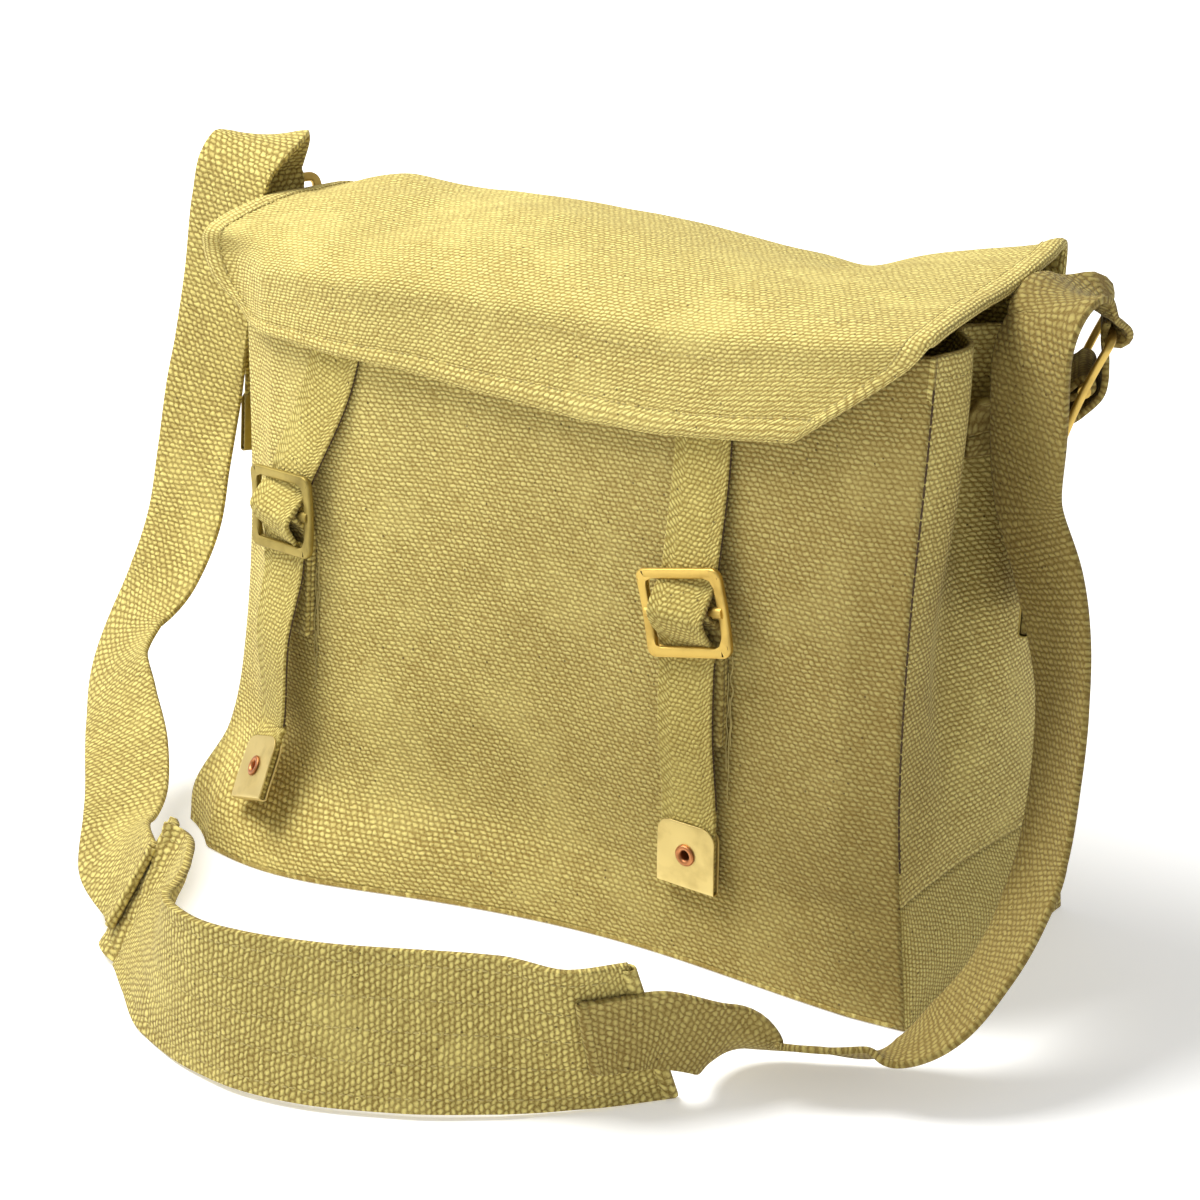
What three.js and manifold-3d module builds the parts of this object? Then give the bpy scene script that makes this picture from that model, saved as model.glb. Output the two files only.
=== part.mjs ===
// Canvas shoulder bag: a boxy haversack of heavy webbing canvas that stands on its base, with a flap
// held by two buckled straps, and a webbing shoulder strap with a pad that lies in front of it.
// Frame: millimetres, X to the wearer's right along the front, Y to the back, Z up, and the origin at
// the middle of the base, on the surface that the bag stands on.
import * as THREE from 'three';
import Module from 'manifold-3d';

const wasm = await Module();
wasm.setup();

// Body and flap
const bagWidth = 350;
const bagDepth = 124;
const bagHeight = 262;
const clothThickness = 2;
const flapThickness = 2.2;
const baseTurnUp = 49;

// Webbing
const closureWidth = 25;
const closureThickness = 2;
const shoulderWidth = 38;
const shoulderThickness = 2.4;
const padWidth = 60;
const padThickness = 3.2;
const padOverlapRight = 25;
const padOverlapLeft = 9;

// Brass
const closureBuckleWidth = 40;
const closureBuckleTall = 35;
const shoulderBuckleWidth = 56;
const shoulderBuckleTall = 44;
const closureBuckleCorner = 4;
const shoulderBuckleCorner = 5;
const buckleRod = 3.4;
const buckleBow = 2.2;
const centreBarThickness = 3;
const closureTipLength = 27;
const shoulderTipLength = 27;
const tipSheet = 0.7;
const tipCorner = 6;
const eyeletFlange = 9;
const eyeletBarrel = 5.6;
const eyeletHole = 4.2;
const eyeletLip = 0.6;

// Places of the sewn parts
const closureLeftPlace = -0.266 * bagWidth;
const closureRightPlace = 0.237 * bagWidth;
const closureBuckleHeight = 151;
const closureTipHeight = 35;
const closureChapeLength = 53;
const shoulderTurn = -66;
const shoulderTilt = 22;
const flapOverhang = 5;
const chapeTrim = 1;

// Clearance between pieces that touch
const gap = 0.3;

const halfWidth = bagWidth / 2;
const halfDepth = bagDepth / 2;

// Materials
const canvas = { color: 0xb5a862, roughness: 0.93, metalness: 0 };
const webbing = { color: 0xada35c, roughness: 0.9, metalness: 0 };
const brass = { color: 0xb8933f, roughness: 0.35, metalness: 1 };
const copper = { color: 0x9a5a34, roughness: 0.4, metalness: 1 };

const bag = new THREE.Group();

// Adds one named piece with a material of its own
function addPiece(name, geometry, finish) {
  const mesh = new THREE.Mesh(geometry, new THREE.MeshStandardMaterial(finish));
  mesh.name = name;
  bag.add(mesh);
  return mesh;
}

// Smooth value of a table's column at a share between its rows
function smoothColumn(rows, key, column, share) {
  let index = 0;
  while (index < rows.length - 2 && share > rows[index + 1][key]) index += 1;
  const slopeAt = (row) => {
    const before = rows[Math.max(row - 1, 0)];
    const after = rows[Math.min(row + 1, rows.length - 1)];
    return (after[column] - before[column]) / (after[key] - before[key]);
  };
  const from = rows[index];
  const to = rows[index + 1];
  const span = to[key] - from[key];
  const s = THREE.MathUtils.clamp((share - from[key]) / span, 0, 1);
  const rise = s * s * (3 - 2 * s);
  const leave = s * (1 - s) * (1 - s) * span * slopeAt(index);
  const arrive = s * s * (s - 1) * span * slopeAt(index + 1);
  return from[column] + (to[column] - from[column]) * rise + leave + arrive;
}

const bell = (x) => Math.exp(-x * x);
const mix = (a, b, share) => a + (b - a) * share;

// Closed solid between an outside and an inside grid of points, joined round the rim
function sheetSolid(columns, rows, outside, inside) {
  const positions = [];
  const faces = [];
  const across = columns + 1;
  const layer = across * (rows + 1);
  for (const surface of [outside, inside]) {
    for (let row = 0; row <= rows; row += 1) {
      for (let column = 0; column <= columns; column += 1) {
        positions.push(...surface(column / columns, row / rows).toArray());
      }
    }
  }
  const at = (side, column, row) => side * layer + row * across + column;
  const quad = (a, b, c, d) => faces.push(a, b, c, a, c, d);
  for (let row = 0; row < rows; row += 1) {
    for (let column = 0; column < columns; column += 1) {
      quad(at(0, column, row), at(0, column + 1, row), at(0, column + 1, row + 1), at(0, column, row + 1));
      quad(at(1, column, row), at(1, column, row + 1), at(1, column + 1, row + 1), at(1, column + 1, row));
    }
  }
  for (let column = 0; column < columns; column += 1) {
    quad(at(0, column + 1, 0), at(0, column, 0), at(1, column, 0), at(1, column + 1, 0));
    quad(at(0, column, rows), at(0, column + 1, rows), at(1, column + 1, rows), at(1, column, rows));
  }
  for (let row = 0; row < rows; row += 1) {
    quad(at(0, 0, row), at(0, 0, row + 1), at(1, 0, row + 1), at(1, 0, row));
    quad(at(0, columns, row + 1), at(0, columns, row), at(1, columns, row), at(1, columns, row + 1));
  }
  return facingOut(positions, faces);
}

// Geometry from points and faces, turned so that its volume is positive
function facingOut(positions, faces) {
  let volume = 0;
  const corner = (index) => new THREE.Vector3().fromArray(positions, index * 3);
  for (let face = 0; face < faces.length; face += 3) {
    const [a, b, c] = [corner(faces[face]), corner(faces[face + 1]), corner(faces[face + 2])];
    volume += a.dot(b.cross(c));
  }
  if (volume < 0) faces.reverse();
  const geometry = new THREE.BufferGeometry();
  geometry.setAttribute('position', new THREE.Float32BufferAttribute(positions, 3));
  geometry.setIndex(faces);
  return geometry;
}

// Solid for cuts and joins, from a closed geometry
function solidOf(geometry) {
  const positions = [];
  const faces = [];
  const seen = new Map();
  const source = geometry.getAttribute('position');
  const order = geometry.index ? Array.from(geometry.index.array) : [...Array(source.count).keys()];
  const merged = order.map((index) => {
    const point = [source.getX(index), source.getY(index), source.getZ(index)];
    const key = point.map((value) => Math.round(value * 1e4)).join();
    if (!seen.has(key)) {
      seen.set(key, positions.length / 3);
      positions.push(...point);
    }
    return seen.get(key);
  });
  for (let face = 0; face < merged.length; face += 3) {
    const [a, b, c] = merged.slice(face, face + 3);
    if (a !== b && b !== c && c !== a) faces.push(a, b, c);
  }
  const vertProperties = new Float32Array(positions);
  const triVerts = new Uint32Array(faces);
  return new wasm.Manifold(new wasm.Mesh({ numProp: 3, vertProperties, triVerts }));
}

function geometryOf(solid) {
  const mesh = solid.getMesh();
  const geometry = new THREE.BufferGeometry();
  geometry.setAttribute('position', new THREE.Float32BufferAttribute(Array.from(mesh.vertProperties), 3));
  geometry.setIndex(Array.from(mesh.triVerts));
  return geometry;
}

// Upright seams of the body, as shares of its height, half width and half depth
const seams = {
  frontLeft: [
    { up: 0, across: -0.985, deep: -1.22 },
    { up: 0.065, across: -1.0, deep: -1.1 },
    { up: 0.15, across: -0.985, deep: -0.76 },
    { up: 0.32, across: -0.965, deep: -0.6 },
    { up: 0.6, across: -0.945, deep: -0.52 },
    { up: 1, across: -0.935, deep: -0.5 },
  ],
  frontRight: [
    { up: 0, across: 1.02, deep: -1.03 },
    { up: 0.13, across: 0.998, deep: -1.0 },
    { up: 0.34, across: 0.975, deep: -1.0 },
    { up: 0.6, across: 0.98, deep: -1.0 },
    { up: 0.86, across: 1.004, deep: -1.0 },
    { up: 1, across: 1.015, deep: -1.0 },
  ],
  backRight: [
    { up: 0, across: 1.05, deep: 1.03 },
    { up: 0.14, across: 1.035, deep: 1.0 },
    { up: 0.4, across: 0.98, deep: 0.88 },
    { up: 0.7, across: 0.97, deep: 0.86 },
    { up: 1, across: 0.99, deep: 0.9 },
  ],
  backLeft: [
    { up: 0, across: -1.02, deep: 1.0 },
    { up: 0.14, across: -1.01, deep: 0.98 },
    { up: 0.4, across: -0.97, deep: 0.9 },
    { up: 0.7, across: -0.96, deep: 0.88 },
    { up: 1, across: -0.98, deep: 0.9 },
  ],
};

// Walls in order round the body, with the height of the open rim at each wall's first seam
const walls = [
  { name: 'front', seam: 'frontLeft', rim: 0.905, out: new THREE.Vector3(0, -1, 0) },
  { name: 'right', seam: 'frontRight', rim: 1.008, out: new THREE.Vector3(1, 0, 0) },
  { name: 'back', seam: 'backRight', rim: 0.97, out: new THREE.Vector3(0, 1, 0) },
  { name: 'left', seam: 'backLeft', rim: 0.94, out: new THREE.Vector3(-1, 0, 0) },
];

// Bellies, dents and folds of the walls: where they lie as shares of the wall's length and height,
// how far they spread as shares of the same, and their push outward as a share of half the depth
const folds = [
  { wall: 'front', across: 0.5, up: 0.5, wide: 0.75, tall: 0.8, push: 0.1 },
  { wall: 'front', across: 0.2, up: 0.42, wide: 0.2, tall: 0.9, push: 0.26 },
  { wall: 'front', across: 0.14, up: 0, wide: 0.16, tall: 0.08, push: 0.12 },
  { wall: 'front', across: 0.64, up: 0, wide: 0.22, tall: 0.12, push: -0.13 },
  { wall: 'front', across: 0.33, up: 0.8, wide: 0.08, tall: 0.3, push: -0.05 },
  { wall: 'front', across: 0.1, up: 0.2, wide: 0.07, tall: 0.05, push: -0.07 },
  { wall: 'front', across: 0.93, up: 0.16, wide: 0.1, tall: 0.025, push: -0.03 },
  { wall: 'right', across: 0.22, up: 0.86, wide: 0.16, tall: 0.2, push: 0.06 },
  { wall: 'right', across: 0.5, up: 0.86, wide: 0.16, tall: 0.28, push: -0.34 },
  { wall: 'right', across: 0.34, up: 0.5, wide: 0.12, tall: 0.2, push: -0.1 },
  { wall: 'right', across: 0.7, up: 0.42, wide: 0.28, tall: 0.24, push: 0.07 },
  { wall: 'right', across: 0.5, up: 0.19, wide: 0.4, tall: 0.04, push: -0.05 },
  { wall: 'right', across: 0.45, up: 0.09, wide: 0.35, tall: 0.07, push: 0.08 },
  { wall: 'back', across: 0.5, up: 0.4, wide: 0.4, tall: 0.4, push: 0.1 },
  { wall: 'back', across: 0.25, up: 0.72, wide: 0.12, tall: 0.2, push: -0.07 },
  { wall: 'left', across: 0.5, up: 0.84, wide: 0.18, tall: 0.3, push: -0.32 },
  { wall: 'left', across: 0.3, up: 0.4, wide: 0.25, tall: 0.25, push: 0.06 },
  { wall: 'left', across: 0.5, up: 0.09, wide: 0.35, tall: 0.07, push: 0.06 },
];

const seamFade = 0.07;
const footFade = 0.05;

// Point of the body's outside: a wall's number, the share along it and the share of its height
function wallPoint(side, along, up) {
  const wall = walls[side];
  const next = walls[(side + 1) % walls.length];
  const from = seams[wall.seam];
  const to = seams[next.seam];
  const x = mix(smoothColumn(from, 'up', 'across', up), smoothColumn(to, 'up', 'across', up), along);
  const y = mix(smoothColumn(from, 'up', 'deep', up), smoothColumn(to, 'up', 'deep', up), along);
  const z = up * mix(wall.rim, next.rim, along);
  const point = new THREE.Vector3(x * halfWidth, y * halfDepth, z * bagHeight);
  const edge = Math.min(1, along / seamFade, (1 - along) / seamFade);
  const foot = wall.out.y === 0 ? Math.min(1, up / footFade) : 1;
  for (const fold of folds) {
    if (fold.wall !== wall.name) continue;
    const shape = bell((along - fold.across) / fold.wide) * bell((up - fold.up) / fold.tall);
    point.addScaledVector(wall.out, shape * fold.push * halfDepth * edge * foot);
  }
  return point;
}

const probe = 0.004;
const searchTurns = 22;

function wallNormal(side, along, up) {
  const before = wallPoint(side, Math.max(along - probe, 0), up);
  const after = wallPoint(side, Math.min(along + probe, 1), up);
  const below = wallPoint(side, along, Math.max(up - probe, 0));
  const above = wallPoint(side, along, Math.min(up + probe, 1));
  return after.sub(before).cross(above.sub(below)).normalize();
}

// Inward step of the cloth at a point, mitred where the wall meets its neighbour or the base
function inwardStep(side, along, up) {
  const normal = wallNormal(side, along, up);
  const step = normal.clone();
  if (along === 0 || along === 1) {
    const count = walls.length;
    const beside = along === 0 ? [(side + count - 1) % count, 1] : [(side + 1) % count, 0];
    step.add(wallNormal(...beside, up)).normalize();
    step.divideScalar(step.dot(normal));
  }
  if (up === 0) step.z = -1;
  return step.multiplyScalar(-clothThickness);
}

// Keeps a panel's edge half a gap clear of the seam that it shares
function seamShift(side, along, up) {
  const shift = new THREE.Vector3();
  if (along === 0) shift.copy(wallPoint(side, probe, up)).sub(wallPoint(side, 0, up));
  if (along === 1) shift.copy(wallPoint(side, 1 - probe, up)).sub(wallPoint(side, 1, up));
  return shift.setLength(shift.length() > 0 ? gap : 0);
}

// Outside or inside point of the cloth of a wall
function clothPoint(side, along, up, inside) {
  const point = wallPoint(side, along, up).add(seamShift(side, along, up));
  if (inside) point.add(inwardStep(side, along, up));
  return point;
}

// One wall's panel between two shares of its height
function panel(side, columns, rows, lowest) {
  const lift = new THREE.Vector3(0, 0, gap);
  const surface = (inside) => (across, high) => {
    const up = mix(lowest, 1, high);
    const point = clothPoint(side, across, up, inside);
    return high === 0 ? point.add(lift) : point;
  };
  return sheetSolid(columns, rows, surface(false), surface(true));
}

const front = 0;
const right = 1;
const back = 2;
const left = 3;

// The rows of the panels meet row for row at the seams, so the turn up is a whole number of rows
const frontColumns = 18;
const frontRows = 16;
const backColumns = 9;
const gussetColumns = 12;
const baseRows = 5;
const turnRows = Math.round(frontRows * baseTurnUp / bagHeight);
const turnUpShare = turnRows / frontRows;
const gussetRows = frontRows - turnRows;

addPiece('front_panel', panel(front, frontColumns, frontRows, 0), canvas);
addPiece('back_panel', panel(back, backColumns, frontRows / 2, 0), canvas);
addPiece('side_gusset_right', panel(right, gussetColumns, gussetRows, turnUpShare), canvas);
addPiece('side_gusset_left', panel(left, gussetColumns, gussetRows, turnUpShare), canvas);

// Base strip: up the left side, across the bottom and up the right side
const baseColumns = frontColumns + 2 * turnRows;

function basePoint(across, deep, inside) {
  const column = Math.round(across * baseColumns);
  if (column < turnRows) {
    const up = turnUpShare * (1 - column / turnRows);
    return clothPoint(left, 1 - deep, up, inside);
  }
  if (column > turnRows + frontColumns) {
    const up = turnUpShare * (column - turnRows - frontColumns) / turnRows;
    return clothPoint(right, deep, up, inside);
  }
  const along = (column - turnRows) / frontColumns;
  const nearEdge = wallPoint(front, along, 0);
  const farEdge = wallPoint(back, 1 - along, 0);
  const inset = nearEdge.clone().sub(farEdge).setLength(gap);
  if (inside) {
    nearEdge.add(inwardStep(front, along, 0));
    farEdge.add(inwardStep(back, 1 - along, 0));
  }
  return nearEdge.sub(inset).lerp(farEdge.add(inset), deep);
}

const baseOutside = (across, deep) => basePoint(across, deep, false);
const baseInside = (across, deep) => basePoint(across, deep, true);
addPiece('base_strip', sheetSolid(baseColumns, baseRows, baseOutside, baseInside), canvas);

// Share along a wall and share of its height at a place across the body and a height
function placeOn(side, across, height) {
  let low = 0;
  let high = 1;
  const rims = [walls[side].rim, walls[(side + 1) % walls.length].rim];
  const upAt = (along) => Math.min(height / (bagHeight * mix(...rims, along)), 1);
  for (let turn = 0; turn < searchTurns; turn += 1) {
    const middle = (low + high) / 2;
    const before = wallPoint(side, middle, upAt(middle)).x < across;
    if (before === (side === front)) low = middle;
    else high = middle;
  }
  return { along: low, up: upAt(low) };
}

function wallFace(side, across, height) {
  const place = placeOn(side, across, height);
  return wallPoint(side, place.along, place.up).y;
}

const restSamples = [-1.3, -1, -0.75, -0.5, -0.25, 0.25, 0.5, 0.75, 1, 1.3];

// Row of a band that lies on a wall, clear of it by a lift over the band's whole width
function restOn(side, place, width, lift) {
  const at = wallPoint(side, place.along, place.up);
  const length = wallPoint(side, 1, place.up).distanceTo(wallPoint(side, 0, place.up));
  const reach = width / 2 / length;
  const near = (way) => wallPoint(side, place.along + way * reach, place.up);
  const across = near(1).sub(near(-1)).setZ(0).normalize();
  const out = new THREE.Vector3(across.y, -across.x, 0);
  const proud = Math.max(0, ...restSamples.map((way) => near(way).sub(at).dot(out)));
  return { at: at.addScaledVector(out, lift + proud), side: across };
}

// Flap: heights at five places across, from the hem sewn on the back, over the top, to the front
// edge, as shares of the body's height
const flapHeights = [
  { along: 0, up0: 0.915, up1: 0.93, up2: 0.94, up3: 0.94, up4: 0.94 },
  { along: 0.1, up0: 0.96, up1: 0.985, up2: 0.985, up3: 0.975, up4: 1.0 },
  { along: 0.18, up0: 0.988, up1: 1.022, up2: 1.02, up3: 1.004, up4: 1.07 },
  { along: 0.3, up0: 1.0, up1: 1.035, up2: 1.036, up3: 1.02, up4: 1.076 },
  { along: 0.46, up0: 1.01, up1: 1.03, up2: 1.042, up3: 1.035, up4: 1.058 },
  { along: 0.62, up0: 0.99, up1: 1.012, up2: 1.022, up3: 1.025, up4: 1.052 },
  { along: 0.76, up0: 0.95, up1: 0.972, up2: 0.982, up3: 0.996, up4: 1.038 },
  { along: 0.86, up0: 0.898, up1: 0.918, up2: 0.923, up3: 0.934, up4: 0.986 },
  { along: 1, up0: 0.847, up1: 0.846, up2: 0.831, up3: 0.828, up4: 0.862 },
];
const flapPlaces = ['up0', 'up1', 'up2', 'up3', 'up4'];

// Sides of the flap as shares of half the width, and either the wall that it lies on or its depth as
// a share of half the body's
const flapRows = [
  { along: 0, left: -0.99, right: 0.93, seat: 'back' },
  { along: 0.1, left: -1, right: 0.94, seat: 'back' },
  { along: 0.18, left: -1, right: 0.945, deep: 0.92 },
  { along: 0.3, left: -1, right: 0.98, deep: 0.5 },
  { along: 0.46, left: -0.99, right: 0.985, deep: -0.05 },
  { along: 0.62, left: -0.99, right: 0.99, deep: -0.58 },
  { along: 0.76, left: -1.005, right: 0.995, seat: 'front' },
  { along: 0.86, left: -0.966, right: 0.93, seat: 'front' },
  { along: 1, left: -0.84, right: 0.685, seat: 'front' },
];

// Humps and dips of the flap's top, as shares of its width and length; lift is a share of half the depth
const flapFolds = [
  { across: 0.1, along: 0.2, wide: 0.07, long: 0.16, lift: 0.1 },
  { across: 0.77, along: 0.2, wide: 0.05, long: 0.2, lift: -0.06 },
  { across: 0.25, along: 0.5, wide: 0.05, long: 0.16, lift: -0.05 },
  { across: 0.42, along: 0.44, wide: 0.1, long: 0.14, lift: 0.03 },
  { across: 0.6, along: 0.4, wide: 0.08, long: 0.2, lift: -0.025 },
];
const flapStandOff = closureThickness + 6 * gap + flapThickness;
const flapColumns = 20;
const flapSteps = 18;

function flapPoint(across, along) {
  const reach = mix(
    smoothColumn(flapRows, 'along', 'left', along) * halfWidth - flapOverhang,
    smoothColumn(flapRows, 'along', 'right', along) * halfWidth + flapOverhang,
    across,
  );
  const heights = flapPlaces.map((name, index) => (
    { share: index / (flapPlaces.length - 1), up: smoothColumn(flapHeights, 'along', name, along) }
  ));
  const height = smoothColumn(heights, 'share', 'up', across) * bagHeight;
  const depths = flapRows.map((row) => {
    let y = row.deep * halfDepth;
    if (row.seat === 'front') {
      y = wallFace(front, reach, height) - flapStandOff;
    }
    if (row.seat === 'back') {
      y = wallFace(back, reach, height) + gap + flapThickness;
    }
    return { along: row.along, y };
  });
  const lift = flapFolds.reduce((sum, fold) => (
    sum + bell((across - fold.across) / fold.wide) * bell((along - fold.along) / fold.long) * fold.lift
  ), 0);
  return new THREE.Vector3(reach, smoothColumn(depths, 'along', 'y', along), height + lift * halfDepth);
}

function flapInside(across, along) {
  const point = flapPoint(across, along);
  const leftward = flapPoint(Math.max(across - probe, 0), along);
  const rightward = flapPoint(Math.min(across + probe, 1), along);
  const backward = flapPoint(across, Math.max(along - probe, 0));
  const forward = flapPoint(across, Math.min(along + probe, 1));
  const normal = forward.sub(backward).cross(rightward.sub(leftward)).normalize();
  return point.addScaledVector(normal, -flapThickness);
}

addPiece('flap', sheetSolid(flapColumns, flapSteps, flapPoint, flapInside), canvas);

// Route of a webbing band: its middle line, the direction across it, and for each row the share of its
// width that gathers leave and the slant of the row, as a shift along it for each step across
function bandRoute(rows) {
  const curve = (points) => new THREE.CatmullRomCurve3(points, false, 'centripetal');
  const middle = curve(rows.map((row) => row.at.clone()));
  const across = curve(rows.map((row) => row.side.clone().normalize()));
  const shapes = rows.map((row, index) => (
    { share: index / (rows.length - 1), wide: row.wide ?? 1, slant: row.slant ?? 0 }
  ));
  return { middle, across, shapes, spans: rows.length - 1 };
}

// Frame of a band at a share of its route: width, length and face directions
function bandFrame(route, share) {
  const at = route.middle.getPoint(share);
  const along = route.middle.getTangent(share);
  const side = route.across.getPoint(share);
  side.addScaledVector(along, -side.dot(along)).normalize();
  const face = side.clone().cross(along).normalize();
  return { at, along, side, face };
}

const bandSteps = 3;
const chapeSteps = 2;
const padColumns = 3;

function bandSolid(route, width, thickness, stepsPerSpan, columns = 1) {
  const steps = route.spans * stepsPerSpan;
  const surface = (facing) => (across, share) => {
    const frame = bandFrame(route, share);
    const reach = (across - 0.5) * width * smoothColumn(route.shapes, 'share', 'wide', share);
    const slant = smoothColumn(route.shapes, 'share', 'slant', share);
    return frame.at.addScaledVector(frame.side, reach)
      .addScaledVector(frame.along, reach * slant)
      .addScaledVector(frame.face, facing * thickness / 2);
  };
  return sheetSolid(columns, steps, surface(1), surface(-1));
}

// Direction from a turn about Z, measured from +X, and a lean above the level, in degrees
function direction(turn, lean) {
  const level = Math.cos(THREE.MathUtils.degToRad(lean));
  const bearing = THREE.MathUtils.degToRad(turn);
  return new THREE.Vector3(
    level * Math.cos(bearing),
    level * Math.sin(bearing),
    Math.sin(THREE.MathUtils.degToRad(lean)),
  );
}

// Row of a route from shares of half the width, half the depth and the height
function bandRow(row) {
  return {
    at: new THREE.Vector3(row.across * halfWidth, row.deep * halfDepth, row.up * bagHeight),
    side: direction(row.turn, row.lean),
  };
}

// Buckle: one casting of a bowed frame and a centre bar, X across, Y up and Z out of its face
const buckleSteps = 28;
const buckleSides = 6;
const barSides = 8;

function buckleGeometry(width, tall, corner) {
  const outline = new THREE.Shape();
  const w = (width - buckleRod) / 2;
  const h = (tall - buckleRod) / 2;
  outline.moveTo(-w + corner, -h);
  outline.lineTo(w - corner, -h);
  outline.absarc(w - corner, -h + corner, corner, -Math.PI / 2, 0);
  outline.lineTo(w, h - corner);
  outline.absarc(w - corner, h - corner, corner, 0, Math.PI / 2);
  outline.lineTo(-w + corner, h);
  outline.absarc(-w + corner, h - corner, corner, Math.PI / 2, Math.PI);
  outline.lineTo(-w, -h + corner);
  outline.absarc(-w + corner, -h + corner, corner, Math.PI, Math.PI * 1.5);
  const positions = [];
  const faces = [];
  const point = (step) => {
    const flat = outline.getPointAt((step % buckleSteps) / buckleSteps);
    return new THREE.Vector3(flat.x, flat.y, buckleBow * ((flat.y / h) ** 2 - 1) / 2);
  };
  for (let step = 0; step < buckleSteps; step += 1) {
    const at = point(step);
    const along = point(step + 1).sub(point(step + buckleSteps - 1)).normalize();
    const outward = along.clone().cross(new THREE.Vector3(0, 0, 1)).normalize();
    const up = outward.clone().cross(along).normalize();
    for (let side = 0; side < buckleSides; side += 1) {
      const angle = (side + 0.5) / buckleSides * Math.PI * 2;
      const ring = at.clone()
        .addScaledVector(outward, Math.cos(angle) * buckleRod / 2)
        .addScaledVector(up, Math.sin(angle) * buckleRod / 2);
      positions.push(...ring.toArray());
      const nextStep = (step + 1) % buckleSteps;
      const nextSide = (side + 1) % buckleSides;
      const [a, b] = [step * buckleSides + side, step * buckleSides + nextSide];
      const [c, d] = [nextStep * buckleSides + nextSide, nextStep * buckleSides + side];
      faces.push(a, b, c, a, c, d);
    }
  }
  const frame = solidOf(facingOut(positions, faces));
  const bar = new THREE.CylinderGeometry(centreBarThickness / 2, centreBarThickness / 2, 2 * w, barSides);
  bar.rotateZ(Math.PI / 2);
  bar.translate(0, 0, -buckleBow / 2);
  return geometryOf(frame.add(solidOf(bar)));
}

// Stack of layers at a buckle, measured out of its plane from the centre bar
const barReach = centreBarThickness / 2;
const rodReach = buckleRod / 2;
const strapLead = 4;
const strapSag = 0.5;
const bulgeShare = 0.62;
const slipLift = 0.18;

// Places, along and out of a buckle's plane, that a strap and its folded chape pass through; slip is
// how far a rolled buckle's bars lie along the strap at the strap's edges
function strapThrough(tall, thickness, slip = 0) {
  const behind = -(rodReach + gap + thickness / 2);
  const over = barReach + gap + thickness + gap + thickness / 2 + slip * slipLift;
  const bar = (tall - buckleRod) / 2 - slip;
  return [
    { along: bar + strapLead, out: behind - strapSag },
    { along: bar, out: behind },
    { along: bar * 0.5, out: mix(behind, over, bulgeShare) },
    { along: 0, out: over },
    { along: -bar * 0.5, out: mix(behind, over, bulgeShare) },
    { along: -bar, out: behind },
  ];
}

// Places of a folded chape's outer and inner layers where they pass behind the buckle's lower bar
function chapeBehind(tall, thickness, share) {
  const step = 2 * gap + thickness;
  const behind = -(rodReach + gap + thickness / 2);
  const along = -(tall - buckleRod) * share;
  return { outer: { along, out: behind - step }, inner: { along, out: behind - 2 * step } };
}

// Closure straps with their buckles, chapes, tips and eyelets
const facetSlack = 0.4;
const closureLay = gap + facetSlack + closureThickness / 2;
const closureStack = 2 * (2 * gap + closureThickness) + closureThickness / 2;
const closureBuckleOut = closureLay + closureStack + gap + rodReach;
const closureTipOut = closureThickness / 2 + gap + tipSheet + gap + eyeletLip + gap + facetSlack;
const strapTop = bagHeight * 0.9;
const flapEdgeHeight = bagHeight * 0.87;

// Rests of a closure strap, as shares of the way down to its buckle and from there to its tip
const upperRest = 0.35;
const lowerRest = 0.42;
const belowBarShare = 0.68;
const closureLoopShare = 0.27;
const shoulderLoopShare = 0.2;
const tipLead = 0.3;

// Leans of the straps above and below the buckle as shares of their width, how far a tip stands off
// as a share of its length, its twist in degrees, and how much lower than the rule it hangs; the
// frame's roll in its own plane in degrees, and how far the folded loop lies to the right
const closures = [
  { name: 'left', place: closureLeftPlace, lean: -1.05, kick: -0.12, swing: 0.4, twist: 15, sink: 11.5,
    roll: 14, aside: 1 },
  { name: 'right', place: closureRightPlace, lean: -0.06, kick: 0, swing: 0, twist: 0, sink: 0, roll: 13, aside: 3 },
];

// Goes evenly from 1 at the low height and below it to 0 at the high height and above it
function shareBelow(height, low, high) {
  return THREE.MathUtils.clamp((high - height) / (high - low), 0, 1);
}

const tipCurve = 3;
const boreSides = 10;

// Brass tip: a folded sheet round a strap's end, X across, Y towards the strap and Z out of its face
function tipGeometry(width, length, thickness) {
  const w = width / 2 + gap + tipSheet;
  const outline = new THREE.Shape();
  outline.moveTo(-w, -tipSheet - gap);
  outline.lineTo(w, -tipSheet - gap);
  outline.lineTo(w, length - tipCorner);
  outline.absarc(w - tipCorner, length - tipCorner, tipCorner, 0, Math.PI / 2);
  outline.lineTo(-w + tipCorner, length);
  outline.absarc(-w + tipCorner, length - tipCorner, tipCorner, Math.PI / 2, Math.PI);
  const deep = thickness + 2 * (gap + tipSheet);
  const shell = new THREE.ExtrudeGeometry(
    outline,
    { depth: deep, bevelEnabled: false, curveSegments: tipCurve },
  );
  shell.translate(0, 0, -deep / 2);
  const slot = new THREE.BoxGeometry(width + 2 * gap, length + gap + 1, thickness + 2 * gap);
  slot.translate(0, (length + gap + 1) / 2 - gap, 0);
  const boreReach = eyeletBarrel / 2 + gap;
  const bore = new THREE.CylinderGeometry(boreReach, boreReach, deep + 2, boreSides);
  bore.rotateX(Math.PI / 2);
  bore.translate(0, length / 2, 0);
  return geometryOf(solidOf(shell).subtract(solidOf(slot)).subtract(solidOf(bore)));
}

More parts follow.
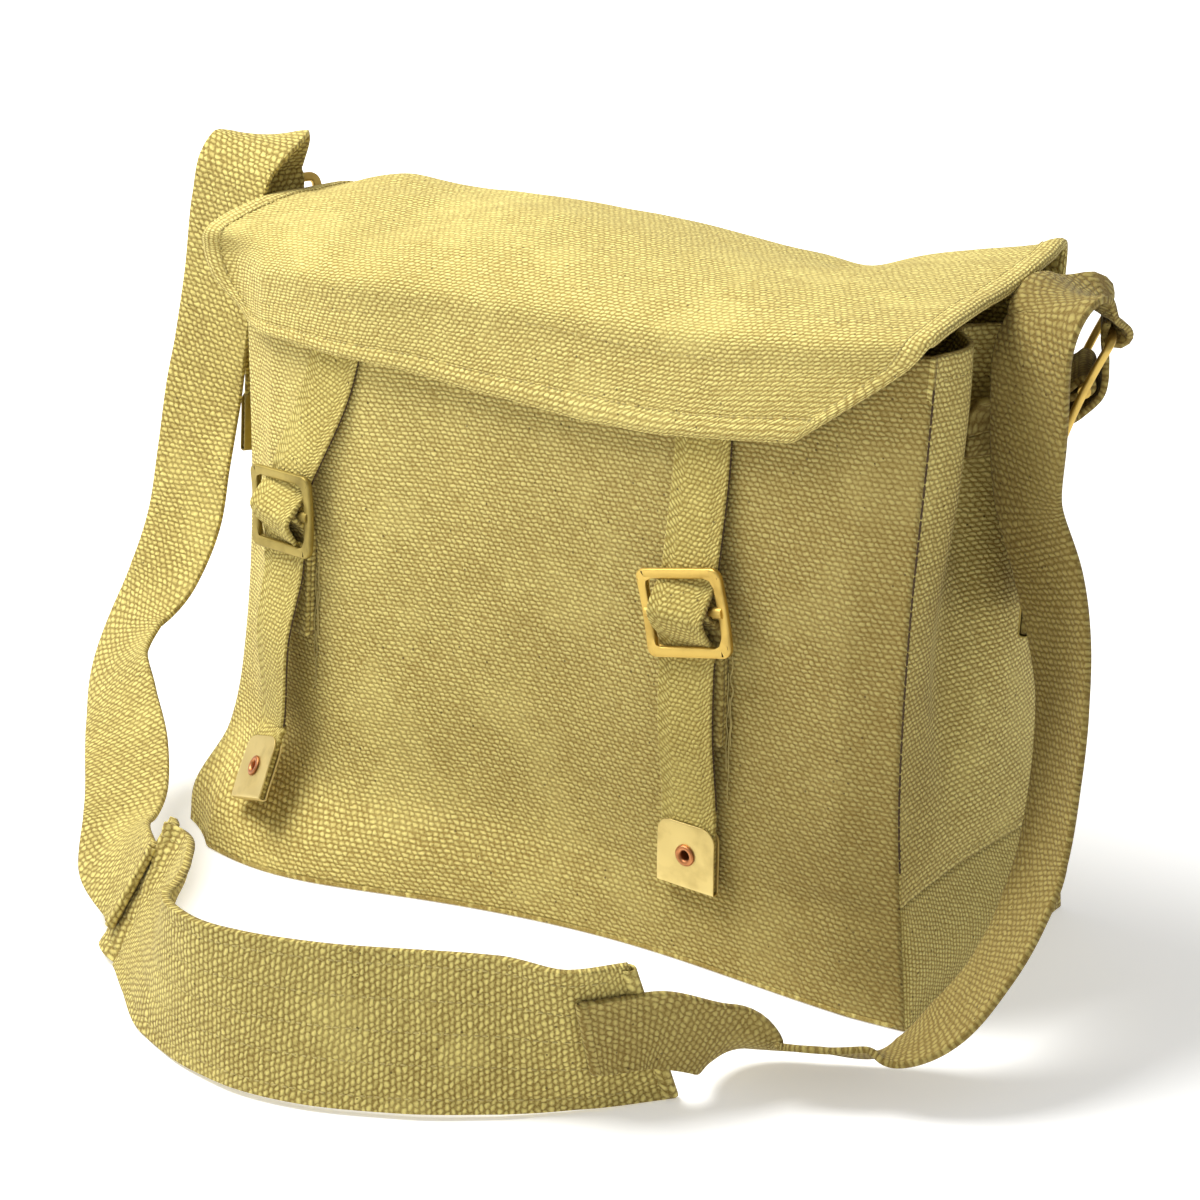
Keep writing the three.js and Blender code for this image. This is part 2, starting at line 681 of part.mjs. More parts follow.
// Eyelet: a flanged tube through the tip and the strap
function eyeletGeometry(thickness) {
  const h = thickness / 2 + gap + tipSheet + gap + eyeletLip;
  const hole = eyeletHole / 2;
  const barrel = eyeletBarrel / 2;
  const flange = eyeletFlange / 2;
  const profile = [
    [hole, -h], [flange, -h], [flange, -h + eyeletLip], [barrel, -h + eyeletLip],
    [barrel, h - eyeletLip], [flange, h - eyeletLip], [flange, h], [hole, h], [hole, -h],
  ];
  const ring = new THREE.LatheGeometry(profile.map(([x, y]) => new THREE.Vector2(x, y)), boreSides);
  ring.rotateX(Math.PI / 2);
  return geometryOf(solidOf(ring));
}

// Places a piece in the frame of a band's end
function placeAt(mesh, frame, shift) {
  const up = frame.along.clone().negate();
  const side = frame.side.clone();
  const face = side.clone().cross(up).normalize();
  mesh.quaternion.setFromRotationMatrix(new THREE.Matrix4().makeBasis(side, up, face));
  mesh.position.copy(frame.at).addScaledVector(up, shift);
}

// Adds a tip and an eyelet to a band's end, and returns the band with its eyelet hole
function finishEnd(prefix, route, width, thickness, length, bandGeometry) {
  const end = bandFrame(route, 1);
  placeAt(addPiece(`${prefix}_tip`, tipGeometry(width, length, thickness), brass), end, 0);
  placeAt(addPiece(`${prefix}_eyelet`, eyeletGeometry(thickness), copper), end, length / 2);
  const boreReach = eyeletBarrel / 2 + gap;
  const bore = new THREE.CylinderGeometry(boreReach, boreReach, thickness * 3, boreSides);
  bore.rotateX(Math.PI / 2);
  const holder = new THREE.Object3D();
  placeAt(holder, end, length / 2);
  holder.updateMatrix();
  bore.applyMatrix4(holder.matrix);
  return geometryOf(solidOf(bandGeometry).subtract(solidOf(bore)));
}

for (const closure of closures) {
  const tipHeight = closureTipHeight - closure.sink;
  const onFront = (height, lift, aside = 0) => {
    const lean = closure.lean * shareBelow(height, closureBuckleHeight, flapEdgeHeight);
    const kick = closure.kick * shareBelow(height, tipHeight, closureBuckleHeight);
    const across = closure.place + (lean + kick) * closureWidth + aside;
    return restOn(front, placeOn(front, across, height), closureWidth, lift);
  };
  const buckleAt = onFront(closureBuckleHeight, closureBuckleOut);
  const above = onFront(closureBuckleHeight + closureBuckleTall / 2, closureBuckleOut).at;
  const below = onFront(closureBuckleHeight - closureBuckleTall / 2, closureBuckleOut).at;
  const up = above.sub(below).normalize();
  const level = buckleAt.side.clone().addScaledVector(up, -buckleAt.side.dot(up)).normalize();
  const out = level.clone().cross(up);
  const beside = (along, reach) => (
    { at: buckleAt.at.clone().addScaledVector(up, along).addScaledVector(out, reach), side: level }
  );
  const rest = mix(strapTop, closureBuckleHeight, upperRest);
  const rows = [onFront(strapTop, closureLay), onFront(rest, closureLay + gap)];
  const roll = THREE.MathUtils.degToRad(closure.roll);
  const slip = Math.sin(roll) * closureWidth / 2;
  for (const stop of strapThrough(closureBuckleTall, closureThickness, slip)) {
    rows.push(beside(stop.along, stop.out));
  }
  const hang = closure.swing * closureTipLength;
  const overChape = closureLay + 2 * (gap + closureThickness) + 3 * gap;
  const belowBar = closureBuckleHeight - closureBuckleTall * belowBarShare;
  rows.push(onFront(belowBar, overChape));
  const upright = new THREE.Vector3(0, 0, 1);
  const twist = THREE.MathUtils.degToRad(closure.twist);
  const hanging = onFront(mix(closureBuckleHeight, tipHeight, lowerRest), overChape + hang / 2);
  hanging.side.applyAxisAngle(upright, -twist / 2);
  rows.push(hanging);
  const tipTop = onFront(tipHeight + closureTipLength, closureTipOut + hang);
  tipTop.side.applyAxisAngle(upright, -twist);
  const tipLow = onFront(tipHeight, closureTipOut + hang);
  const fall = tipLow.at.clone().sub(tipTop.at).setLength(closureTipLength);
  rows.push({ at: tipTop.at.clone().addScaledVector(fall, -tipLead), side: tipTop.side });
  rows.push(tipTop, { at: tipTop.at.clone().add(fall), side: tipTop.side });
  const route = bandRoute(rows);
  const band = bandSolid(route, closureWidth, closureThickness, bandSteps);
  const prefix = `closure_${closure.name}`;
  const finished = finishEnd(prefix, route, closureWidth, closureThickness, closureTipLength, band);
  addPiece(`closure_strap_${closure.name}`, finished, webbing);
  const buckle = addPiece(
    `closure_buckle_${closure.name}`,
    buckleGeometry(closureBuckleWidth, closureBuckleTall, closureBuckleCorner),
    brass,
  );
  const [rolledLevel, rolledUp] = [level, up].map((axis) => axis.clone().applyAxisAngle(out, roll));
  buckle.quaternion.setFromRotationMatrix(new THREE.Matrix4().makeBasis(rolledLevel, rolledUp, out));
  buckle.position.copy(buckleAt.at);
  const behind = chapeBehind(closureBuckleTall, closureThickness, closureLoopShare);
  const sewnEnd = closureBuckleHeight - closureChapeLength;
  const outerLay = closureLay + gap + closureThickness;
  const layer = (stop, lay) => {
    const start = buckleAt.at.clone().addScaledVector(rolledUp, stop.along).addScaledVector(out, stop.out);
    const sewn = [belowBar, sewnEnd].map((height) => onFront(height, lay, closure.aside));
    return [{ at: start, side: rolledLevel }, ...sewn];
  };
  addChape(`closure_chape_${closure.name}`, {
    width: closureWidth - chapeTrim,
    thickness: closureThickness,
    bar: beside(0, -buckleBow / 2).at,
    up: rolledUp,
    out,
    side: rolledLevel,
    outer: layer(behind.outer, outerLay),
    inner: layer(behind.inner, closureLay),
  });
}

// Chape: a short band folded round a buckle's centre bar, both layers sewn down together
function addChape(name, chape) {
  const radius = barReach + gap + chape.thickness / 2;
  const turn = (degrees) => {
    const angle = THREE.MathUtils.degToRad(degrees);
    return chape.bar.clone()
      .addScaledVector(chape.up, Math.sin(angle) * radius)
      .addScaledVector(chape.out, Math.cos(angle) * radius);
  };
  const rows = chape.outer.slice().reverse();
  for (const degrees of [-75, -25, 25, 75, 125, 175]) {
    rows.push({ at: turn(degrees), side: chape.side });
  }
  rows.push(...chape.inner);
  const route = bandRoute(rows);
  addPiece(name, bandSolid(route, chape.width, chape.thickness, chapeSteps), webbing);
}

// Shoulder pad: a wide band on its long edge on the ground, from its right end to its left end.
// The places are of its lower edge, as shares of half the width and half the depth of the body
const padRows = [
  { across: 0.742, deep: -2.475, low: 0, turn: -108, lean: 74, slant: 0.35 },
  { across: 0.618, deep: -2.88, low: 0, turn: -90, lean: 80, slant: 0.1 },
  { across: 0.495, deep: -3.2, low: 0, turn: 127, lean: 84 },
  { across: 0.323, deep: -3.52, low: 0, turn: 121, lean: 76.5 },
  { across: 0.15, deep: -3.74, low: 0, turn: 120, lean: 77 },
  { across: -0.034, deep: -3.84, low: 0, turn: 98, lean: 82 },
  { across: -0.22, deep: -3.76, low: 0, turn: 5, lean: 76 },
  { across: -0.38, deep: -3.54, low: 0.01, turn: -12, lean: 66 },
  { across: -0.503, deep: -3.33, low: 0.03, turn: 28, lean: 62 },
  { across: -0.608, deep: -3.13, low: 0.035, turn: 40, lean: 56 },
  { across: -0.68, deep: -2.98, low: 0.045, turn: 15, lean: 53 },
  { across: -0.735, deep: -2.86, low: 0.05, turn: 12, lean: 51 },
];

function padRow(row) {
  const side = direction(row.turn, row.lean);
  const low = row.low * padWidth + padThickness / 2;
  const at = new THREE.Vector3(row.across * halfWidth, row.deep * halfDepth, low);
  return { at: at.addScaledVector(side, padWidth / 2), side, slant: row.slant };
}

const padRoute = bandRoute(padRows.map(padRow));
addPiece('shoulder_pad', bandSolid(padRoute, padWidth, padThickness, bandSteps, padColumns), webbing);

// Shoulder buckles stand off the top of each gusset in a folded chape, sewn at a share along the gusset
const shoulderSides = [
  { name: 'right', hand: 1, across: 1.13, deep: 0.36, up: 0.922, sewnAt: 0.66 },
  { name: 'left', hand: -1, across: 1.146, deep: 0.46, up: 0.93, sewnAt: 0.325 },
];

// Ends of the straps on the pad: how far they lie over it, how much above its middle line, the share of
// their width that the gathers leave, and the slant of the end
const padEnds = {
  right: { overlap: padOverlapRight, lift: 3, wide: 0.84, slant: -0.24 },
  left: { overlap: padOverlapLeft, lift: 0, wide: 1, slant: 0 },
};

const sewnRows = [0.875, 0.85, 0.815];

// Straps from the pad up each side, as shares, with the direction across their width
const strapRows = {
  right: [
    { across: 0.817, deep: -2.372, up: 0.097, turn: -82, lean: 70 },
    { across: 0.868, deep: -2.05, up: 0.061, turn: -62, lean: 32 },
    { across: 0.976, deep: -1.87, up: 0.056, turn: -62, lean: 30 },
    { across: 1.058, deep: -1.74, up: 0.055, turn: -60, lean: 34 },
    { across: 1.11, deep: -1.67, up: 0.06, turn: -54, lean: 22 },
    { across: 1.198, deep: -1.52, up: 0.106, turn: -42, lean: 15 },
    { across: 1.249, deep: -1.29, up: 0.165, turn: -38, lean: 21 },
    { across: 1.269, deep: -1.02, up: 0.225, turn: -37, lean: 22 },
    { across: 1.269, deep: -0.76, up: 0.292, turn: -37, lean: 22 },
    { across: 1.258, deep: -0.55, up: 0.398, turn: -38, lean: 23 },
    { across: 1.241, deep: -0.42, up: 0.506, turn: -37, lean: 22 },
    { across: 1.214, deep: -0.35, up: 0.587, turn: -31, lean: 20 },
    { across: 1.175, deep: -0.32, up: 0.676, turn: -26, lean: 19 },
    { across: 1.115, deep: -0.29, up: 0.774, turn: -28, lean: 17 },
    { across: 1.11, deep: -0.31, up: 0.885, turn: -22, lean: 14 },
    { across: 1.112, deep: -0.31, up: 0.992, turn: -21, lean: 12 },
    { across: 1.125, deep: -0.21, up: 1.04, turn: -26, lean: 6 },
    { across: 1.128, deep: 0, up: 1.053, turn: -38, lean: 1 },
    { across: 1.14, deep: 0.2, up: 1.038, turn: -54, lean: 0 },
  ],
  left: [
    { across: -0.79, deep: -2.525, up: 0.112, turn: 12, lean: 30 },
    { across: -0.865, deep: -2.19, up: 0.146, turn: 10, lean: 12 },
    { across: -0.965, deep: -1.87, up: 0.178, turn: 8, lean: 11 },
    { across: -1.087, deep: -1.55, up: 0.212, turn: -3, lean: 16 },
    { across: -1.19, deep: -1.25, up: 0.25, turn: -17, lean: 13 },
    { across: -1.222, deep: -0.97, up: 0.303, turn: -11, lean: 10 },
    { across: -1.2, deep: -0.71, up: 0.374, turn: -3, lean: -6 },
    { across: -1.194, deep: -0.48, up: 0.458, turn: 5, lean: -5 },
    { across: -1.202, deep: -0.32, up: 0.554, turn: 10, lean: 6 },
    { across: -1.202, deep: -0.19, up: 0.654, turn: 12, lean: 6 },
    { across: -1.186, deep: -0.13, up: 0.74, turn: 6, lean: 6 },
    { across: -1.157, deep: -0.08, up: 0.866, turn: 2, lean: 0 },
    { across: -1.134, deep: -0.03, up: 0.996, turn: 2, lean: 2 },
    { across: -1.118, deep: 0.04, up: 1.058, turn: 9, lean: -2 },
    { across: -1.11, deep: 0.19, up: 1.086, turn: 23, lean: -4 },
    { across: -1.13, deep: 0.4, up: 1.085, turn: 48, lean: -2 },
  ],
};

// Free tails below the buckles, down to the tip, as shares
const tailRows = {
  right: [
    { across: 1.09, deep: 0.24, up: 0.77, turn: -72, lean: 0 },
    { across: 1.07, deep: 0.22, up: 0.655, turn: -76, lean: 0 },
  ],
  left: [
    { across: -1.09, deep: 0.34, up: 0.77, turn: 66, lean: 0 },
    { across: -1.07, deep: 0.28, up: 0.665, turn: 66, lean: 0 },
  ],
};

const tailForward = 0.1;

for (const shoulder of shoulderSides) {
  const hand = shoulder.hand;
  const side = direction(hand * shoulderTurn, 0);
  const level = new THREE.Vector3(-side.y, side.x, 0);
  const tilt = THREE.MathUtils.degToRad(shoulderTilt);
  const up = new THREE.Vector3(0, 0, Math.cos(tilt)).addScaledVector(level, Math.sin(tilt));
  const out = level.clone().multiplyScalar(Math.cos(tilt)).add(new THREE.Vector3(0, 0, -Math.sin(tilt)));
  const centre = new THREE.Vector3(
    hand * shoulder.across * halfWidth,
    shoulder.deep * halfDepth,
    shoulder.up * bagHeight,
  );
  const beside = (along, reach) => centre.clone().addScaledVector(up, along).addScaledVector(out, reach);
  const buckle = addPiece(
    `shoulder_buckle_${shoulder.name}`,
    buckleGeometry(shoulderBuckleWidth, shoulderBuckleTall, shoulderBuckleCorner),
    brass,
  );
  const across = up.clone().cross(out);
  buckle.quaternion.setFromRotationMatrix(new THREE.Matrix4().makeBasis(across, up, out));
  buckle.position.copy(centre);

  const padEnd = padEnds[shoulder.name];
  const padLift = (padThickness + shoulderThickness) / 2 + 2 * gap + facetSlack;
  const onPad = (along, slant) => {
    const way = along / padRoute.middle.getLength();
    const spot = bandFrame(padRoute, padRoute.middle.getUtoTmapping(hand > 0 ? way : 1 - way));
    const at = spot.at.addScaledVector(spot.face, padLift).addScaledVector(spot.side, padEnd.lift);
    return { at, side: spot.side, wide: padEnd.wide, slant };
  };
  const rows = [onPad(padEnd.overlap, padEnd.slant), onPad(padEnd.overlap / 2, 0), onPad(0, 0)];
  const climb = strapRows[shoulder.name].map(bandRow);
  climb[0].wide = padEnd.wide;
  rows.push(...climb);
  for (const stop of strapThrough(shoulderBuckleTall, shoulderThickness)) {
    rows.push({ at: beside(stop.along, stop.out), side });
  }
  rows.push(...tailRows[shoulder.name].map(bandRow));
  const last = rows[rows.length - 1];
  const down = new THREE.Vector3(0, -tailForward, -1).setLength(shoulderTipLength);
  rows.splice(-1, 0, { at: last.at.clone().addScaledVector(down, -tipLead), side: last.side });
  rows.push({ at: last.at.clone().add(down), side: last.side });
  const route = bandRoute(rows);
  const band = bandSolid(route, shoulderWidth, shoulderThickness, bandSteps);
  const prefix = `shoulder_${shoulder.name}`;
  const finished = finishEnd(prefix, route, shoulderWidth, shoulderThickness, shoulderTipLength, band);
  addPiece(`shoulder_strap_${shoulder.name}`, finished, webbing);

  const gusset = hand > 0 ? right : left;
  const behind = chapeBehind(shoulderBuckleTall, shoulderThickness, shoulderLoopShare);
  const sewn = (up, lift) => {
    const row = restOn(gusset, { along: shoulder.sewnAt, up }, shoulderWidth, lift);
    return { at: row.at, side: row.side.dot(side) < 0 ? row.side.negate() : row.side };
  };
  const lay = gap + 3 * facetSlack + shoulderThickness / 2;
  const outerLay = lay + gap + shoulderThickness;
  const layer = (stop) => ({ at: beside(stop.along, stop.out), side });
  addChape(`shoulder_chape_${shoulder.name}`, {
    width: shoulderWidth - chapeTrim,
    thickness: shoulderThickness,
    bar: beside(0, -buckleBow / 2),
    up,
    out,
    side,
    outer: [layer(behind.outer), ...sewnRows.map((up) => sewn(up, outerLay))],
    inner: [layer(behind.inner), ...sewnRows.map((up) => sewn(up, lay))],
  });
}

export default bag;
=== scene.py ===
"""Looks of a canvas shoulder bag that stands on its base with its strap in front. Metres, +Z up."""
import bisect
import functools
import math
import bmesh
import bpy
from mathutils import Matrix, Vector, noise


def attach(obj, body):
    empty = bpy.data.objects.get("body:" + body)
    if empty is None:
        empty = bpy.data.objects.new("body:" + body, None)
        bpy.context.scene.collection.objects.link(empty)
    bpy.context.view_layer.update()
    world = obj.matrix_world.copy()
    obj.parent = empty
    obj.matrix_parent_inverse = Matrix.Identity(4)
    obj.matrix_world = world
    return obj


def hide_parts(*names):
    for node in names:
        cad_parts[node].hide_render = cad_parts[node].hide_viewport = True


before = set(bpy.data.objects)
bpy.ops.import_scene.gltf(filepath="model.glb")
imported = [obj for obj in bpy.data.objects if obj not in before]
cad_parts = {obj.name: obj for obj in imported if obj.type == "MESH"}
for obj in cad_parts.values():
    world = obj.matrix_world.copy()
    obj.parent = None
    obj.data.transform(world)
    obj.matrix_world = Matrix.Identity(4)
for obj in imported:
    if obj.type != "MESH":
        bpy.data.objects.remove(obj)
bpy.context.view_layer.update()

# Camera
# It stands to the right of the front at table height and looks slightly down,
# with a long lens, so the edges of the bag stay almost parallel.
camera_turn = math.radians(34)
camera_rise = math.radians(21)
camera_distance = 1.128
camera_target = Vector((-0.004, 0, 0.116))
toward = Vector((
    math.sin(camera_turn) * math.cos(camera_rise),
    -math.cos(camera_turn) * math.cos(camera_rise),
    math.sin(camera_rise),
))
camera_data = bpy.data.cameras.new("camera")
camera_data.sensor_width = 36
camera_data.lens = 81
camera = bpy.data.objects.new("camera", camera_data)
camera.location = camera_target + toward * camera_distance
camera.rotation_euler = toward.to_track_quat("Z", "Y").to_euler()
bpy.context.scene.collection.objects.link(camera)
bpy.context.scene.camera = camera


# Studio floor and lamps
# A pale seamless floor, one broad lamp overhead and a weak one at the left
# of the camera, under an even white sky.
def operation(word, turned=False):
    """Method of a socket that adds one maths node; turned puts the socket last."""

    def method(self, *others):
        values = (*others, self) if turned else (self, *others)
        return self.maths(word, *values)

    return method


class Shade:
    """A socket that adds its maths nodes as it is used in an expression."""

    def __init__(self, tree, socket):
        self.tree = tree
        self.socket = socket

    def maths(self, word, *values):
        node = self.tree.nodes.new("ShaderNodeMath")
        node.operation = word
        for place, value in zip(node.inputs, values):
            if isinstance(value, Shade):
                self.tree.links.new(value.socket, place)
            else:
                place.default_value = value
        return Shade(self.tree, node.outputs[0])

    __add__ = operation("ADD")
    __radd__ = operation("ADD", True)
    __sub__ = operation("SUBTRACT")
    __rsub__ = operation("SUBTRACT", True)
    __mul__ = operation("MULTIPLY")
    __truediv__ = operation("DIVIDE")
    floor = operation("FLOOR")
    part = operation("FRACT")
    size = operation("ABSOLUTE")
    least = operation("MINIMUM")
    most = operation("MAXIMUM")
    over = operation("GREATER_THAN")


class Finish:
    """A material whose nodes are made one by one."""

    def __init__(self, name, roughness=0.9, metallic=0.0):
        self.material = bpy.data.materials.new(name)
        self.material.use_nodes = True
        self.tree = self.material.node_tree
        self.shader = self.tree.nodes["Principled BSDF"]
        self.shader.inputs["Roughness"].default_value = roughness
        self.shader.inputs["Metallic"].default_value = metallic

    def node(self, kind, sockets, output=0, **settings):
        node = self.tree.nodes.new(kind)
        for name, value in settings.items():
            setattr(node, name, value)
        for name, value in sockets.items():
            if isinstance(value, Shade):
                self.tree.links.new(value.socket, node.inputs[name])
            else:
                node.inputs[name].default_value = value
        return Shade(self.tree, node.outputs[output])

    def blend(self, share, first, second):
        """Colour between two colours."""
        node = self.tree.nodes.new("ShaderNodeMix")
        node.data_type = "RGBA"
        self.tree.links.new(share.socket, node.inputs[0])
        for index, value in ((6, first), (7, second)):
            if isinstance(value, Shade):
                self.tree.links.new(value.socket, node.inputs[index])
            else:
                node.inputs[index].default_value = (*value, 1)
        return Shade(self.tree, node.outputs[2])

    def give(self, name, value):
        """Feeds one socket of the surface."""
        self.tree.links.new(value.socket, self.shader.inputs[name])

    def raise_by(self, height, distance):
        """Bump from a height between 0 and 1."""
        sockets = {"Height": height, "Distance": distance, "Strength": 1.0}
        self.give("Normal", self.node("ShaderNodeBump", sockets))

    def place(self):
        return self.node("ShaderNodeTexCoord", {}, 3)

    def speckle(self, scale, detail=2.0, where=None):
        """Soft noise between 0 and 1 on the piece's own coordinates."""
        sockets = {"Vector": where or self.place(), "Scale": scale, "Detail": detail, "Roughness": 0.5}
        return self.node("ShaderNodeTexNoise", sockets)


def lamp(name, place, target, size, power):
    data = bpy.data.lights.new(name, "AREA")
    data.shape = "DISK"
    data.size = size
    data.energy = power
    light = bpy.data.objects.new(name, data)
    light.location = place
    light.rotation_euler = (Vector(place) - Vector(target)).to_track_quat("Z", "Y").to_euler()
    bpy.context.scene.collection.objects.link(light)


floor_mesh = bmesh.new()
bmesh.ops.create_grid(floor_mesh, x_segments=1, y_segments=1, size=6)
floor_data = bpy.data.meshes.new("floor")
floor_mesh.to_mesh(floor_data)
floor_mesh.free()
floor = bpy.data.objects.new("floor", floor_data)
floor.location.z = -0.0005
bpy.context.scene.collection.objects.link(floor)
paper = Finish("studio_paper", 0.95)
grain = paper.speckle(3.0)
paper.give("Base Color", paper.blend(grain, (0.86, 0.86, 0.85), (0.9, 0.9, 0.89)))
away = paper.node("ShaderNodeVectorMath", {0: paper.place()}, 1, operation="LENGTH")
far_share = ((away - 0.45) * 1.4).most(0.0).least(1.0)
paper.give("Emission Color", paper.blend(far_share, (0.34, 0.34, 0.34), (1, 1, 1)))
paper.shader.inputs["Emission Strength"].default_value = 1
floor_data.materials.append(paper.material)

world = bpy.data.worlds.new("studio")
world.use_nodes = True
world.node_tree.nodes["Background"].inputs["Color"].default_value = (1, 1, 1, 1)
world.node_tree.nodes["Background"].inputs["Strength"].default_value = 0.45
bpy.context.scene.world = world
lamp("lamp_above", (-0.6, -0.35, 1.4), (0, 0, 0.1), 0.9, 30)
lamp("lamp_left", (-1.4, -1.1, 0.6), (-0.1, 0, 0.12), 0.7, 3)
bpy.context.scene.view_settings.view_transform = "Standard"

# Body of the bag
# Four walls and a base strip of heavy canvas, woven two yarns over two, cut to panels,
# sewn along the corners and turned, so the raw edges are inside.
half_width = 0.175
half_depth = 0.062
height = 0.262
cloth = 0.002
gap = 0.0003
turn_share = 3 / 16
seam_fade = 0.07
foot_fade = 0.05
# Share of the height, and shares of half the width and half the depth
upright_seams = {
    "front_left": [
        (0, -0.985, -1.22), (0.065, -1.0, -1.1), (0.15, -0.985, -0.76), (0.32, -0.965, -0.6),
        (0.6, -0.945, -0.52), (1, -0.935, -0.5),
    ],
    "front_right": [
        (0, 1.02, -1.03), (0.13, 0.998, -1.0), (0.34, 0.975, -1.0), (0.6, 0.98, -1.0),
        (0.86, 1.004, -1.0), (1, 1.015, -1.0),
    ],
    "back_right": [
        (0, 1.05, 1.03), (0.14, 1.035, 1.0), (0.4, 0.98, 0.88), (0.7, 0.97, 0.86), (1, 0.99, 0.9),
    ],
    "back_left": [
        (0, -1.02, 1.0), (0.14, -1.01, 0.98), (0.4, -0.97, 0.9), (0.7, -0.96, 0.88), (1, -0.98, 0.9),
    ],
}
# Name, first seam, height of the rim at that seam and way out
walls = [
    ("front", "front_left", 0.905, Vector((0, -1, 0))),
    ("right", "front_right", 1.008, Vector((1, 0, 0))),
    ("back", "back_right", 0.97, Vector((0, 1, 0))),
    ("left", "back_left", 0.94, Vector((-1, 0, 0))),
]
# Share along the wall, share of its height, the two spreads and the push outward
wall_folds = {
    "front": [
        (0.5, 0.5, 0.75, 0.8, 0.1),
        (0.2, 0.42, 0.2, 0.9, 0.26),
        (0.14, 0, 0.16, 0.08, 0.12),
        (0.64, 0, 0.22, 0.12, -0.13),
        (0.33, 0.8, 0.08, 0.3, -0.05),
        (0.1, 0.2, 0.07, 0.05, -0.07),
        (0.93, 0.16, 0.1, 0.025, -0.03),
    ],
    "right": [
        (0.22, 0.86, 0.16, 0.2, 0.06),
        (0.5, 0.86, 0.16, 0.28, -0.34),
        (0.34, 0.5, 0.12, 0.2, -0.1),
        (0.7, 0.42, 0.28, 0.24, 0.07),
        (0.5, 0.19, 0.4, 0.04, -0.05),
        (0.45, 0.09, 0.35, 0.07, 0.08),
    ],
    "back": [
        (0.5, 0.4, 0.4, 0.4, 0.1),
        (0.25, 0.72, 0.12, 0.2, -0.07),
    ],
    "left": [
        (0.5, 0.84, 0.18, 0.3, -0.32),
        (0.3, 0.4, 0.25, 0.25, 0.06),
        (0.5, 0.09, 0.35, 0.07, 0.06),
    ],
}
front, right, back, left = range(4)


def smooth_column(rows, column, share):
    """Smooth value of a table's column at a share between its rows."""
    index = 0
    while index < len(rows) - 2 and share > rows[index + 1][0]:
        index += 1

    def slope(row):
        before = rows[max(row - 1, 0)]
        after = rows[min(row + 1, len(rows) - 1)]
        return (after[column] - before[column]) / (after[0] - before[0])

    start, end = rows[index], rows[index + 1]
    span = end[0] - start[0]
    s = min(max((share - start[0]) / span, 0), 1)
    rise = s * s * (3 - 2 * s)
    leave = s * (1 - s) ** 2 * span * slope(index)
    arrive = s * s * (s - 1) * span * slope(index + 1)
    return start[column] + (end[column] - start[column]) * rise + leave + arrive


def mix(a, b, share):
    return a + (b - a) * share


def bell(x):
    return math.exp(-x * x)


def wall_point(side, along, up, fine=False):
    """Point of the outside of a wall; fine adds the small creases of the cloth."""
    name, start, rim, out = walls[side]
    ahead = walls[(side + 1) % 4]
    first, last = upright_seams[start], upright_seams[ahead[1]]
    point = Vector((
        mix(smooth_column(first, 1, up), smooth_column(last, 1, up), along) * half_width,
        mix(smooth_column(first, 2, up), smooth_column(last, 2, up), along) * half_depth,
        up * mix(rim, ahead[2], along) * height,
    ))
    edge = min(1, along / seam_fade, (1 - along) / seam_fade)
    foot = min(1, up / foot_fade) if out.y == 0 else 1
    push = 0
    for across, high, wide, tall, amount in wall_folds[name]:
        push += bell((along - across) / wide) * bell((up - high) / tall) * amount
    point += out * push * half_depth * edge * foot
    if fine:
        point += out * small_creases(point, name) * max(edge, 0) * min(1, up / 0.03)
    return point


def small_creases(point, name):
    """Height of the slack cloth's shallow waves."""
    shift = {"front": 0, "right": 3, "back": 6, "left": 9}[name]
    slow = noise.noise(Vector((point.x * 16 + shift, point.y * 20, point.z * 13)))
    quick = noise.noise(Vector((point.x * 45 + shift, point.y * 50, point.z * 34)))
    return 0.0011 * slow + 0.0004 * quick


def to_object(name, mesh, material, node_names):
    """Makes a visible piece of a finished mesh, in the place of its solids."""
    data = bpy.data.meshes.new(name)
    mesh.to_mesh(data)
    mesh.free()
    data.materials.append(material)
    piece = bpy.data.objects.new(name, data)
    bpy.context.scene.collection.objects.link(piece)
    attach(piece, "root")
    if node_names:
        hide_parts(*node_names)
    return piece


def cloth_grid(columns, rows, surface, size, shares=None):
    """Grid of cloth laid on a surface, with its flat place in metres as its map."""
    mesh = bmesh.new()
    bmesh.ops.create_grid(mesh, x_segments=columns, y_segments=rows, size=0.5)
    flat = mesh.loops.layers.uv.new("cloth")
    for face in mesh.faces:
        face.smooth = True
        for loop in face.loops:
            loop[flat].uv = size(loop.vert.co.x + 0.5, loop.vert.co.y + 0.5)
    for corner in mesh.verts:
        across, along = corner.co.x + 0.5, corner.co.y + 0.5
        if shares:
            across = shares(across)
        corner.co = surface(across, along)
    return mesh


def thicken(piece, thickness, offset=-1.0):
    """Gives cloth its thickness: inward at -1, to both sides at 0 and outward at 1."""
    wall = piece.modifiers.new("wall", "SOLIDIFY")
    wall.thickness = thickness
    wall.offset = offset
    wall.use_even_offset = False


